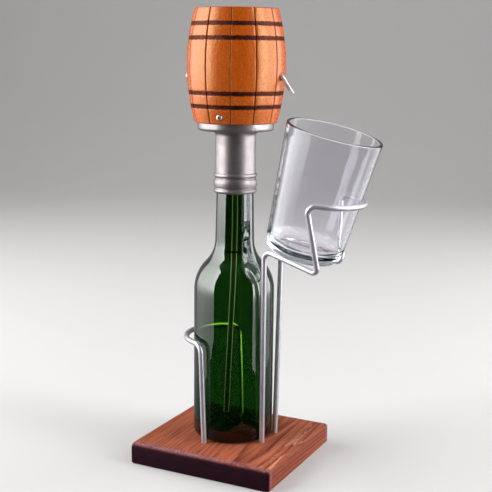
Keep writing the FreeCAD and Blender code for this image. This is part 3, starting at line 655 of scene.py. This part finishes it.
def clear_glass_finish():
    """Clear glass with a faint cool tint that lets light reach what stands behind it."""
    own = settings("tumbler")
    material, shader, place = new_material("Clear glass")
    smear = placed("Smudges", place, Scale=45.0, Low=0.0, High=0.03)
    feed(shader, Base_Color=(0.90, 0.89, 0.92, 1), Transmission_Weight=1.0, IOR=1.46,
         Specular_Tint=(0.5, 0.5, 0.52, 1), Roughness=smear["Roughness"])
    shade_glass(shader, (0.93, 0.95, 0.95, 1), own)
    return material


def green_glass_finish():
    """Deep green bottle glass. Light that passes right through the bottle is dimmed once more as
    it leaves, so the tube inside stays bright behind the dark wall."""
    own = settings("bottle")
    material, shader, place = new_material("Green glass")
    smear = placed("Smudges", place, Scale=45.0, Low=0.0, High=0.04)
    height = place.parts()[2]
    swell = place.speckle(34.0, 1.0, 0.4) * height.step(160 * MM, 135 * MM)

    # the outer skin is what lies beyond a line halfway through the wall, and the foot
    away = place.stretched(1.0, 1.0, 0.0).vector("LENGTH", output="Value")
    halfway = height.ramp(138 * MM, 160 * MM, 28.8 * MM, 12.2 * MM)
    under = height.math("LESS_THAN", settings("board").thick + 3.8 * MM)
    outer = away.math("GREATER_THAN", halfway).larger(under)
    back = outputs(add_node(place.tree, "NewGeometry"))["Backfacing"]
    body = (outer * back).mix((1, 1, 1, 1), rgba(own.far_side))
    feed(shader, Base_Color=body, Transmission_Weight=1.0, IOR=1.5, Roughness=smear["Roughness"],
         Coat_Weight=height.step(35 * MM, 75 * MM, 0.1, 1.0), Coat_Roughness=0.03,
         Normal=swell.bump(0.05, 1.2 * MM))
    shade_glass(shader, (outer * (1.0 - back)).mix((0.94, 1.0, 0.90, 1), rgba(own.shadow)), own)
    return material


def shade_glass(shader, shadow, own):
    """Tinted shadows and, where the wall is thick, deeper colour."""
    tree = shader.id_data
    shadow_ray = outputs(add_node(tree, "LightPath"))["Is Shadow Ray"]
    clear = signal(tree, "BsdfTransparent", {"Color": shadow})
    target = tree.nodes["Material Output"]
    feed(target, Surface=signal(tree, "MixShader", (shadow_ray, Signal(shader.outputs[0]), clear)),
         Volume=signal(tree, "VolumeAbsorption", {"Color": rgba(own.colour), "Density": own.density}))


def plastic_finish(name, colour, rough, transmission=0.0, depth=0.0, glow=0.0):
    """Moulded plastic or rubber with a fine skin. Glow adds painted highlights on a tube's rims where it
    is seen through glass.
    """
    material, shader, place = new_material(name)
    smudge = placed("Smudges", place, Scale=120.0, Low=rough, High=min(1.0, rough + 0.15))
    feed(shader, Base_Color=smudge["Mask"].mix(rgba(colour), scaled(colour, 1.12, 0.004)),
         Roughness=smudge["Roughness"], Normal=place.speckle(2200.0, 2.0).bump(0.12, 0.08 * MM),
         Transmission_Weight=transmission, Subsurface_Weight=depth)
    if depth:
        feed(shader, Subsurface_Scale=2 * MM)
    if glow:
        painted_glow_behind_glass(shader, glow, TUBE_PAINTED_HIGHLIGHT, painted_rim_highlights(place))
    return material


def oak_finish(banded=True):
    """Satin varnished wood; on the cask's side also burnt bands and dark grooves."""
    own = settings("cask")
    material, shader, place = new_material("Varnished cask" if banded else "Varnished head")
    fibre = placed("Wood Fibre", place, Fibre_Scale=900.0, Stretch=0.16, Mottle_Scale=480.0)
    share = (fibre["Fibre"] * 1.7 - 0.62) + (fibre["Mottle"] - 0.42)
    colour = share.clamped().mix(rgba(own.oak), rgba(own.oak_deep))
    colour = (fibre["Broad"].step(0.35, 0.65) * 0.30).mix(colour, scaled(own.oak, 1.15, 0.006))
    pores = place.stretched(1.0, 1.0, 0.55).speckle(1100.0, 3.0).step(0.54, 0.70)
    colour = (pores * 0.55).mix(colour, rgba(own.oak_deep))
    height = pores * -0.5 + fibre["Fibre"] * 0.45
    gloss = fibre["Mottle"] * 0.14 + 0.20
    coat, metal = 0.15, 0.0
    if banded:
        x, y, z = place.parts()
        level = z + (place.speckle(800.0, 3.0, 0.65) * (2 * MM) - 1 * MM)
        first, *others = [abs(level - centre) for centre in band_heights()]
        for other in others:
            first = first.math("MINIMUM", other)
        half = own.band_wide / 2
        band = first.step(half + 0.2 * MM, half - 0.4 * MM)
        ash = place.stretched(1.0, 1.0, 1.4).speckle(900.0, 3.0, 0.7).step(0.47, 0.64)
        worn = place.speckle(55.0, 2.0).step(0.40, 0.66)
        char = (ash * (worn * 0.6 + 0.25)).mix(rgba(own.burnt), ASH)
        colour = (band * 0.96).mix(colour, char)

        stave = (y.math("ARCTAN2", x) - own.first) * (own.staves / TAU)
        off = abs((stave + 0.5).math("FRACT") - 0.5)
        away = off * (TAU * own.across / 2 / own.staves)
        uneven = place.stretched(1.0, 1.0, 0.45).speckle(75.0, 2.0)
        width = uneven.step(0.36, 0.66, 0.02 * MM, 0.26 * MM)
        groove = away.step(width + 0.32 * MM, width)
        colour = (groove * 0.90).mix(colour, ash.mix(*GROOVE))
        # darker wood within 2 mm of each groove
        near_groove_darkening = away.step(2 * MM, 0.4 * MM) * 0.25
        colour = near_groove_darkening.mix(colour, rgba(own.oak_deep))

        flank = away.step(1.1 * MM, 0.5 * MM)
        metal = band.larger(groove) * 0.88
        gloss = flank * 0.40 + (band * 0.25 + gloss)
        coat = band.larger(flank).step(0.0, 1.0, coat, 0.04)
        height = height - band * ash * 0.9
    feed(shader, Base_Color=colour, Metallic=metal, Roughness=gloss, Coat_Weight=coat,
         Coat_Roughness=0.28, Coat_IOR=1.6, Specular_IOR_Level=0.95,
         Specular_Tint=(1.0, 0.70, 0.32, 1), Normal=height.bump(0.45, 0.24 * MM))
    return material


def band_heights():
    own = settings("cask")
    high = own.low + own.tall
    return [own.low + 12.0 * MM, own.low + 21.6 * MM, high - 11.2 * MM, high - 21.2 * MM]


MATERIALS = {}


def finish(name):
    """Each finish is made once, when it is first asked for."""
    if name not in MATERIALS:
        wire, collar = settings("wire").steel, settings("collar").metal
        maker, *given = {
            "stained_board": (stained_board_finish,),
            # the last number of the two wire finishes and of the tube finish is the strength of its
            # painted highlight glow, far the strongest on the hoop behind the bottle
            "polished_wire": (steel_finish, "Polished wire", wire, 0.36, 0.44, 0.0, 0.75, 0.35),
            "hoop_wire": (steel_finish, "Hoop wire", wire, 0.36, 0.44, 0.0, 0.75, 84.0),
            "green_glass": (green_glass_finish,),
            "clear_glass": (clear_glass_finish,),
            "black_rubber": (plastic_finish, "Black rubber", (0.018, 0.018, 0.019), 0.55),
            "pump_plastic": (plastic_finish, "Pump plastic", (0.72, 0.72, 0.69), 0.32, 0.0, 0.15),
            "tube_plastic": (plastic_finish, "Tube plastic", (0.05, 0.10, 0.03), 0.12, 0.92, 0.0, 1.9),
            "pump_steel": (steel_finish, "Pump steel", (0.60, 0.60, 0.61), 0.18, 0.32, 0.2),
            "bright_steel": (steel_finish, "Bright steel", (0.90, 0.88, 0.88), 0.24, 0.36, 0.0, 0.6),
            "screw_steel": (steel_finish, "Screw steel", (0.60, 0.54, 0.55), 0.40, 0.48),
            "satin_metal": (steel_finish, "Satin metal", collar, 0.36, 0.46, 0.25, 0.9),
            "varnished_oak": (oak_finish,),
            "varnished_head": (oak_finish, False),
        }[name]
        MATERIALS[name] = maker(*given)
    return MATERIALS[name]


# ---------------------------------------------------------------- stand
UNDER_GLASS = -2.3                # height of the cradle's runs from the tumbler's base
LOOP_UP = 45.0                    # height of the cradle's loop on the tumbler


def tumbler_point(u, v, s):
    """Point at u across the tilt, v sideways and s up the tumbler's axis, all in millimetres."""
    own = settings("tumbler")
    across = Vector((math.cos(own.tilt), 0, -math.sin(own.tilt)))
    along = Vector((math.sin(own.tilt), 0, math.cos(own.tilt)))
    base = Vector((own.base_x, 0, settings("board").thick + own.base_z))
    return base + (across * u + Vector((0, v, 0)) + along * s) * MM


def hoop_feet():
    """Foot and corner of the hoop's leg at the -Y side."""
    top = settings("board").thick
    reach = settings("bottle").across / 2 + 1.2 * MM + settings("wire").thick / 2
    x = -7.7 * MM
    foot = Vector((x, -math.sqrt(reach ** 2 - x ** 2), top))
    return foot, foot + Vector((-2.8 * MM, -0.6 * MM, settings("wire").hoop_height))


def post_feet():
    """Foot and corner of the cradle's post at the -Y side."""
    top = settings("board").thick
    reach = settings("bottle").across / 2 + 0.4 * MM + settings("wire").thick / 2
    y = 11.8 * MM
    foot = Vector((math.sqrt(reach ** 2 - y ** 2), -y, top))
    run = tumbler_point(0, -15.0, UNDER_GLASS)
    x = 31.8 * MM
    return foot, Vector((x, run.y, run.z + (run.x - x) * math.tan(settings("tumbler").tilt)))


def leg_end(foot, corner):
    return foot - (corner - foot).normalized() * settings("wire").sunk


def bend_wire(name, half, centre, far, look, node):
    """Wire up one leg, round its loop by way of the far point and down the mirrored leg."""
    path = half + arc(centre, half[-1], far)[1:]
    path += arc(centre, far, mirrored(half)[0])[1:] + mirrored(half)[1:]
    wire = bar(name, path, settings("wire").thick / 2)
    finish_piece(wire, "stand", "polished_wire", node, look)


class DISPENSER_OT_board(bpy.types.Operator):
    """Make the stained base board with the wires' four holes"""
    bl_idname = "dispenser.board"
    bl_label = "Base Board"

    def execute(self, context):
        own = settings("board")
        half_x, half_y, top = own.length / 2, own.width / 2, own.thick
        levels = [(0.0, own.ease, own.ease), (own.ease, 0.0, 0.0)]
        edge_steps, corner_steps = 10, 6
        for k in range(edge_steps + 1):
            angle = math.pi / 2 * k / edge_steps
            z = top - own.end_round * (1 - math.sin(angle))
            end = own.end_round * (1 - math.cos(angle))
            rise = max(0.0, z - (top - own.side_round))
            side = own.side_round - math.sqrt(max(own.side_round ** 2 - rise ** 2, 0.0))
            levels.append((z, side, end))
        vertices, rings = [], []
        for z, side, end in levels:
            ring = []
            for quarter, (sx, sy) in enumerate(((1, 1), (-1, 1), (-1, -1), (1, -1))):
                for k in range(corner_steps + 1):
                    angle = math.pi / 2 * (quarter + k / corner_steps)
                    r = own.side_round
                    x = sx * (half_x - side - r) + r * math.cos(angle) + own.shift_x
                    y = sy * (half_y - end - r) + r * math.sin(angle) + own.shift_y
                    ring.append(len(vertices))
                    vertices.append((x, y, z))
            rings.append(ring)
        board = new_piece("board", vertices, [rings[0][::-1], rings[-1]] + joined(rings))
        cutters = []
        for foot, corner in (hoop_feet(), post_feet()):
            for side in (1, -1):
                a, b = leg_end(foot, corner), corner
                a, b = Vector((a.x, a.y * side, a.z)), Vector((b.x, b.y * side, b.z))
                cutters.append(rod(a - (b - a).normalized() * 0.1 * MM, b - a, 16 * MM, 2.12 * MM))
        drilled(board, cutters)
        finish_piece(board, "stand", "stained_board", "base_board")
        return {"FINISHED"}


class DISPENSER_OT_wires(bpy.types.Operator):
    """Make the hoop round the bottle and the cradle that holds the tumbler"""
    bl_idname = "dispenser.wires"
    bl_label = "Wires"

    def execute(self, context):
        own = settings("wire")
        foot, corner = hoop_feet()
        back, reach = 36.5 * MM, 7.5 * MM
        depth = corner.x + back
        loop = (depth ** 2 + corner.y ** 2 - reach ** 2) / (2 * depth)
        centre = Vector((loop - back, 0, corner.z))
        lead = math.atan2(corner.y, corner.x - centre.x) - math.atan2(reach, loop)
        tangent = centre + Vector((math.cos(lead), math.sin(lead), 0)) * loop
        half = rounded([(leg_end(foot, corner), 0), (corner, own.hoop_bend), (tangent, 0)])
        rear = centre - Vector((loop, 0, 0))
        bend_wire("hoop", half, centre, rear, "hoop_wire", "bottle_hoop")

        foot, corner = post_feet()
        glass = settings("tumbler")
        tilt, opening, run = math.radians(9.5), math.radians(68.7), 6.5
        slope = (glass.rim_radius - glass.base_radius) / glass.tall
        loop = (glass.base_radius + slope * LOOP_UP * MM) / MM + 3.15
        tangent_u, tangent_v = loop * math.cos(opening), -loop * math.sin(opening)
        corner_u = tangent_u - run * math.sin(opening)
        corner_v = tangent_v - run * math.cos(opening)

        def loop_point(u, v):
            return tumbler_point(u * math.cos(tilt), v, LOOP_UP + (u - corner_u) * math.sin(tilt))

        tangent, centre, far = loop_point(tangent_u, tangent_v), loop_point(0, 0), loop_point(loop, 0)
        half = rounded([
            (leg_end(foot, corner), 0),
            (corner, own.post_bend),
            (tumbler_point(23.8, -23.0, UNDER_GLASS), own.turn_bend),
            (loop_point(corner_u, corner_v), own.post_bend),
            (tangent, 0)])
        bend_wire("cradle", half, centre, far, "polished_wire", "glass_cradle")
        return {"FINISHED"}


# ---------------------------------------------------------------- glass
class DISPENSER_OT_bottle(bpy.types.Operator):
    """Blow the green bottle, with its punt, shoulder and ringed mouth"""
    bl_idname = "dispenser.bottle"
    bl_label = "Bottle"

    def execute(self, context):
        own = settings("bottle")
        foot = settings("board").thick / MM
        body, wall = own.across / 2 / MM, own.wall / MM
        mouth = foot + own.tall / MM
        outside = outline([
            (0, foot + 8), (9.5, foot + 8, 8.0), (19, foot, 1.5), (body, foot, 4.5),
            (body, foot + 126, 31), (14.8, foot + 142, 23), (13.6, mouth - 28, 30),
            (13.6, mouth - 10, 0.8), (14, mouth - 9.4, 1.0), (14, mouth - 4, 1.0),
            (13.6, mouth - 3.4, 0.6), (13.6, mouth, 1.2), (9.25, mouth, 0.8)])
        inside = outline([
            (9.25, mouth), (9.25, mouth - 46), (10.5, foot + 142 + wall, 26),
            (body - wall, foot + 124.5, 28), (body - wall, foot + 4.5, 6), (20, foot + 4.5, 3),
            (9.5, foot + 12.5, 8), (0, foot + 12.5)])
        outside, inside = divided(outside, 4 * MM), divided(inside, 4 * MM)[1:]
        inner = set(inside)
        low, high = (foot + 20) * MM, (foot + 140) * MM

        def uneven(r, angle, z):
            if (r, z) not in inner or not low < z < high:
                return r
            ease = min(1.0, (z - low) / 0.02, (high - z) / 0.02)
            at = Vector((math.cos(angle), math.sin(angle), z * 22))
            return r + own.ripple * ease * noise.noise(at * 1.3)

        bottle = lathe("green_bottle", outside + inside, 160, shape=uneven, sharp=math.radians(60))
        finish_piece(bottle, "bottle", "green_glass", "bottle")
        return {"FINISHED"}


class DISPENSER_OT_tumbler(bpy.types.Operator):
    """Blow the clear tumbler and lean it in its cradle"""
    bl_idname = "dispenser.tumbler"
    bl_label = "Tumbler"

    def execute(self, context):
        own = settings("tumbler")
        base, rim, tall = own.base_radius / MM, own.rim_radius / MM, own.tall / MM
        wall, floor = own.wall / MM, own.floor / MM
        inner = base + (rim - base) * floor / tall - wall
        pairs = outline([
            (0, 0.6), (15, 0.6, 8), (19, 0, 3), (base, 0, own.heel / MM), (rim, tall, 0.95),
            (rim - wall, tall, 0.95), (inner, floor, 6.5), (0, floor - 0.6)], math.radians(4))
        tumbler = lathe("tumbler_glass", divided(pairs, 5 * MM), 160, sharp=math.radians(60))
        lean = Matrix.Rotation(own.tilt, 4, "Y")
        lean.translation = tumbler_point(0, 0, 0)
        tumbler.data.transform(lean)
        finish_piece(tumbler, "tumbler", "clear_glass", "tumbler")
        return {"FINISHED"}


# ---------------------------------------------------------------- cask and pump
class DISPENSER_OT_cask(bpy.types.Operator):
    """Turn the wooden cask with its grooves and burnt bands, and let in its head"""
    bl_idname = "dispenser.cask"
    bl_label = "Cask"

    def execute(self, context):
        own = settings("cask")
        low, top = own.low, own.low + own.tall
        belly, edge, rows = own.across / 2, own.edge, 120
        levels = [low + edge + (own.tall - 2 * edge) * k / rows for k in range(rows + 1)]
        side = [(cask_radius(z), z) for z in levels]
        start, stop = side[0], side[-1]
        lower = [(start[0] - edge * (1 - math.sin(a)), low + edge * (1 - math.cos(a)))
                 for a in (math.pi / 2 * k / 6 for k in range(6))]
        upper = [(stop[0] - edge * (1 - math.cos(a)), top - edge * (1 - math.sin(a)))
                 for a in (math.pi / 2 * k / 6 for k in range(1, 7))]
        sunk = top - 6.0 * MM
        web = 293.6 * MM
        pairs = [(0, web), (23 * MM, web), (23 * MM, low)] + lower + side + upper
        pairs += [(27.9 * MM, top), (27.5 * MM, top - 0.4 * MM), (27.5 * MM, sunk), (0, sunk)]
        outer = {(round(r, 7), round(z, 7)) for r, z in lower + side + upper}
        bands = band_heights()

        def carved(r, angle, z):
            if (round(r, 7), round(z, 7)) not in outer:
                return r
            turn_share = (angle - own.first) / TAU * own.staves
            off = abs(turn_share - round(turn_share)) * TAU / own.staves * r
            ragged = noise.noise(Vector((round(turn_share) * 3.1, 0, z * 90)))
            half = (0.62 + 0.22 * ragged) * MM
            cut = own.groove_deep * (1 + 0.2 * ragged) * max(0.0, 1 - off / half)
            for centre in bands:
                away = abs(z - centre) - own.band_wide / 2
                if away < 0:
                    cut = max(cut, own.band_deep * min(1.0, -away / (0.3 * MM)))
            return r - cut

        angles = []
        part, fine, rest = TAU / own.staves, (-0.9, -0.6, -0.3, 0.0, 0.3, 0.6, 0.9), 12
        lead = fine[-1] * MM / belly
        for k in range(own.staves):
            at = own.first + TAU * k / own.staves
            angles += [at + f * MM / belly for f in fine]
            angles += [at + lead + (part - 2 * lead) * j / rest for j in range(1, rest)]
        angles = sorted(a % TAU for a in angles)
        cask = lathe("cask", pairs, 0, shape=carved, angles=angles, sharp=math.radians(50))
        drilled(cask, spout_hole_cutters() + screw_seat_cutters(), math.radians(50))
        finish_piece(cask, "head", "varnished_oak", "barrel")
        rim, under, thick = 27.46, sunk / MM, 4.0
        pairs = outline([(0, under), (rim, under), (rim, under + thick, 0.7), (0, under + thick)])
        head = lathe("cask_lid", divided(pairs, 3 * MM), 96)
        finish_piece(head, "head", "varnished_oak", "cask_head", "varnished_head")
        return {"FINISHED"}


def cask_radius(z):
    own = settings("cask")
    rise = (own.across - own.end) / 2
    curve = ((own.tall / 2) ** 2 + rise ** 2) / (2 * rise)
    away = z - own.low - own.tall / 2
    return own.across / 2 - curve + math.sqrt(curve ** 2 - away ** 2)


def spun(degrees, vector):
    return Matrix.Rotation(math.radians(degrees), 3, "Z") @ vector


SPOUT_Z = 290.1 * MM
SCREWS = ((-85.0, 259.8), (95.0, 259.8), (-158.0, 288.0))     # angle and height of each screw


def spout_hole_cutters():
    x = Vector((1, 0, 0))
    close = rod(Vector((22 * MM, 0, SPOUT_Z)), x, 20 * MM, 1.56 * MM)
    start = cask_radius(SPOUT_Z) - 6.5 * MM
    relief = rod(Vector((start, 0, SPOUT_Z - 1.5 * MM)), x, 10 * MM, 3.0 * MM, 40)
    return [close, relief]


def screw_seat_cutters():
    cutters = []
    for degrees, height in SCREWS:
        seat = cask_radius(height * MM) - 0.5 * MM
        x = spun(degrees, Vector((1, 0, 0)))
        cutters.append(rod(x * seat + Vector((0, 0, height * MM)), x, 6 * MM, 2.46 * MM))
    return cutters


class DISPENSER_OT_collar(bpy.types.Operator):
    """Turn the flanged collar with its ridged end"""
    bl_idname = "dispenser.collar"
    bl_label = "Collar"

    def execute(self, context):
        own = settings("collar")
        low_cask = settings("cask").low / MM
        under = low_cask - own.flange_thick / MM
        end = under - own.length / MM
        tube, ring, bore = own.tube_low / 2 / MM, own.ring / 2 / MM, own.bore / 2 / MM
        lip = 14.6
        points, level = [(lip, end)], end
        for tall in (3.2, 6.6, 3.5):
            shoulder = ring - 0.3
            points += [(tube, level), (shoulder, level + 0.8, 1.0), (ring, level + tall / 2, 2.0),
                       (shoulder, level + tall - 0.8, 1.0), (tube, level + tall)]
            level += tall + 0.75
        flange, spigot = own.flange / 2 / MM, 22.96
        points += [
            (own.tube_top / 2 / MM, under, 4.0), (flange, under, 2.2),
            (flange, low_cask - 0.02, 0.6), (spigot, low_cask - 0.02), (spigot, low_cask + 11, 0.5),
            (spigot - 2.8, low_cask + 11), (spigot - 2.8, low_cask - 1.5, 1.0),
            (bore, low_cask - 1.5, 0.5), (bore, level - 0.75), (lip, level - 1.55)]
        collar = lathe("collar", outline(points, math.radians(9), True), 128, closed=True)
        finish_piece(collar, "head", "satin_metal", "flanged_sleeve")
        return {"FINISHED"}


class DISPENSER_OT_spout(bpy.types.Operator):
    """Bend the spout and finish the small screws"""
    bl_idname = "dispenser.spout"
    bl_label = "Spout and Screws"

    def execute(self, context):
        fall, bend = math.radians(55.0), 5.0
        corner = Vector((33.2 + bend * math.tan(fall / 2), 0, SPOUT_Z / MM)) * MM
        corner.z = SPOUT_Z
        tip_x = 45.3 * MM
        tip = Vector((tip_x, 0, SPOUT_Z - (tip_x - corner.x) * math.tan(fall)))
        path = rounded([(Vector((8 * MM, 0, SPOUT_Z)), 0), (corner, bend * MM), (tip, 0)])
        spout = bar("spout_tube", path, 1.5 * MM, 32, 1.0 * MM)
        finish_piece(spout, "head", "bright_steel", "spout")
        for node in ("flange_screws", "carrier_screw"):
            dress_node(node, finish("screw_steel"))
        return {"FINISHED"}


class DISPENSER_OT_pump(bpy.types.Operator):
    """Finish the pump's own pieces and draw the dip tube"""
    bl_idname = "dispenser.pump"
    bl_label = "Pump"

    def execute(self, context):
        finishes = {
            "black_rubber": ("rubber_stopper", "gland_washer", "piston_cup", "carrier_o_ring"),
            "pump_plastic": ("pump_cylinder", "inlet_retainer", "gland_cap", "piston", "outlet_carrier"),
            "pump_steel": ("inlet_ball", "outlet_ball", "pump_stem", "stem_collar", "return_spring"),
        }
        for name, nodes in finishes.items():
            for node in nodes:
                dress_node(node, finish(name))
        _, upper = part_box("dip_tube")
        foot = settings("board").thick
        corners = [(Vector((0, 0, upper.z)), 0), (Vector((0, 0, foot + 140 * MM)), 1.4),
                   (Vector((-6 * MM, 0, foot + 15 * MM)), 0)]
        tube = bar("dip_pipe", rounded(corners, math.radians(0.4)), 2.0 * MM, 24, 1.3 * MM)
        finish_piece(tube, "pump_body", "tube_plastic", "dip_tube")
        return {"FINISHED"}


# ---------------------------------------------------------------- stage
CAMERA_AT = (343.2, -675.2, 307.7)                  # millimetres
CAMERA_HEADING, CAMERA_DROP, CAMERA_ROLL = 116.296, -10.87, 0.672     # degrees
HAZE = (0.60, 0.60, 0.61, 1)                        # surroundings mirrored inside the glass
BEYOND = (0.72, 0.72, 0.73, 1)                      # surroundings seen through the glass
SURROUNDINGS = (0.016, 0.012, 0.018, 1), (0.24, 0.23, 0.25, 1)        # mirrored: in front, behind


def aimed(holder, target):
    holder.rotation_euler = (Vector(target) - holder.location).to_track_quat("-Z", "Y").to_euler()


def soft_light(name, azimuth, distance, height, wide, tall, power, aim=0.2, shiny=True):
    lamp = bpy.data.lights.new(name, "AREA")
    lamp.shape, lamp.size, lamp.size_y, lamp.energy = "RECTANGLE", wide, tall, power
    holder = bpy.data.objects.new(name, lamp)
    bpy.context.scene.collection.objects.link(holder)
    angle = math.radians(azimuth)
    holder.location = (distance * math.cos(angle), distance * math.sin(angle), height)
    aimed(holder, (0, 0, aim))
    holder.visible_glossy = shiny
    return holder


def shade_light(lamp, low, high, share, first=1.0, last=1.0):
    """Dims a soft light towards its lower end, and from its first side to its last."""
    lamp.use_nodes = True
    across, up, _ = signal(lamp.node_tree, "NewGeometry", output="Parametric").parts()
    strength = up.step(low, high, share, 1.0) * across.ramp(0.0, 1.0, first, last)
    feed(lamp.node_tree.nodes["Emission"], Strength=strength)


class DISPENSER_OT_stage(bpy.types.Operator):
    """Lay the pale floor, light the scene and set the camera"""
    bl_idname = "dispenser.stage"
    bl_label = "Stage"

    def execute(self, context):
        own, scene = settings("stage"), context.scene
        sweep = outline([(0, 0), (2600, 0, 1500), (3200, 2600)], math.radians(5))
        floor = lathe("floor", sweep, 96)
        material, shader, place = new_material("Floor")
        tone = place.speckle(3.0, 2.0).mix(rgba(own.floor), scaled(own.floor, 0.97))
        feed(shader, Base_Color=tone, Roughness=0.9, Specular_IOR_Level=0.2)
        floor.data.materials.append(material)
        floor.visible_glossy = False

        left = soft_light("left_softbox", -160, 1.05, 0.66, 1.64, 1.88, own.left, aim=0.66)
        shade_light(left.data, 0.02, 0.32, 0.15, 0.35, 1.85)
        right = soft_light("right_softbox", 3, 1.15, 0.71, 0.45, 2.0, own.right * 1.25, aim=0.71)
        shade_light(right.data, 0.04, 0.16, 0.2)
        far = soft_light("far_right_softbox", 39, 1.15, 0.36, 0.98, 1.3, own.right * 0.75, aim=0.36)
        shade_light(far.data, 0.06, 0.24, 0.15)
        soft_light("left_wash", -172, 1.0, 0.35, 0.8, 0.8, own.side, shiny=False)
        soft_light("right_wash", 47, 1.0, 0.35, 0.8, 0.8, own.side, shiny=False)
        soft_light("top_softbox", -70, 0.8, 1.7, 1.4, 1.4, own.top, shiny=False)
        away = 116
        wash = soft_light("backdrop_light", away, 1.1, 2.1, 2.6, 0.8, own.backdrop, shiny=False)
        aimed(wash, spun(away, Vector((2.9, 0, 0.3))))

        world = bpy.data.worlds.new("Studio")
        world.use_nodes = True
        tree = world.node_tree
        path = outputs(add_node(tree, "LightPath"))
        x, y, _ = signal(tree, "TexCoord", output="Generated").parts()
        mirrored_light = (x * -0.55 + y).step(-0.5, 0.3).mix(*SURROUNDINGS)
        inside = path["Transmission Depth"].math("GREATER_THAN", 0.5)
        mirrored_light = inside.mix(mirrored_light, HAZE)
        colour = path["Is Glossy Ray"].mix(rgba((own.fill,) * 3), mirrored_light)
        feed(tree.nodes["Background"], Color=path["Is Transmission Ray"].mix(colour, BEYOND))
        scene.world = world

        lens = bpy.data.cameras.new("camera")
        lens.lens, lens.sensor_width = own.lens, 36.0
        lens.clip_start, lens.clip_end = 0.05, 50.0
        camera = bpy.data.objects.new("camera", lens)
        scene.collection.objects.link(camera)
        drop, roll = math.radians(CAMERA_DROP), math.radians(CAMERA_ROLL)
        forward = spun(CAMERA_HEADING, Vector((math.cos(drop), 0, math.sin(drop))))
        right = forward.cross(Vector((0, 0, 1))).normalized()
        up = right.cross(forward)
        turned_right = right * math.cos(roll) + up * math.sin(roll)
        turned_up = up * math.cos(roll) - right * math.sin(roll)
        pose = Matrix((turned_right, turned_up, -forward)).transposed().to_4x4()
        pose.translation = Vector(CAMERA_AT) * MM
        camera.matrix_world = pose
        scene.camera = camera
        scene.view_settings.view_transform = "Standard"
        return {"FINISHED"}


# ---------------------------------------------------------------- panel and registration
OPERATORS = [
    DISPENSER_OT_stage,
    DISPENSER_OT_board,
    DISPENSER_OT_wires,
    DISPENSER_OT_bottle,
    DISPENSER_OT_tumbler,
    DISPENSER_OT_cask,
    DISPENSER_OT_collar,
    DISPENSER_OT_spout,
    DISPENSER_OT_pump,
]


class DISPENSER_PT_panel(bpy.types.Panel):
    """Lists the pieces and their settings"""
    bl_idname = "DISPENSER_PT_panel"
    bl_label = "Cask Dispenser"
    bl_space_type = "VIEW_3D"
    bl_region_type = "UI"
    bl_category = "Dispenser"

    def draw(self, context):
        for operator in OPERATORS:
            self.layout.operator(operator.bl_idname)
        for name, group in GROUPS.items():
            box = self.layout.box()
            box.label(text=name.split("_")[1].title())
            for key in group.__annotations__:
                box.prop(getattr(context.scene, name), key)


def register():
    for name, group in GROUPS.items():
        bpy.utils.register_class(group)
        setattr(bpy.types.Scene, name, PointerProperty(type=group))
    for operator in OPERATORS:
        bpy.utils.register_class(operator)
    bpy.utils.register_class(DISPENSER_PT_panel)


def unregister():
    bpy.utils.unregister_class(DISPENSER_PT_panel)
    for operator in reversed(OPERATORS):
        bpy.utils.unregister_class(operator)
    for name, group in GROUPS.items():
        delattr(bpy.types.Scene, name)
        bpy.utils.unregister_class(group)


def main():
    register()
    build_groups()
    for operator in OPERATORS:
        getattr(bpy.ops.dispenser, operator.bl_idname.split(".")[1])()


if __name__ == "__main__":
    main()
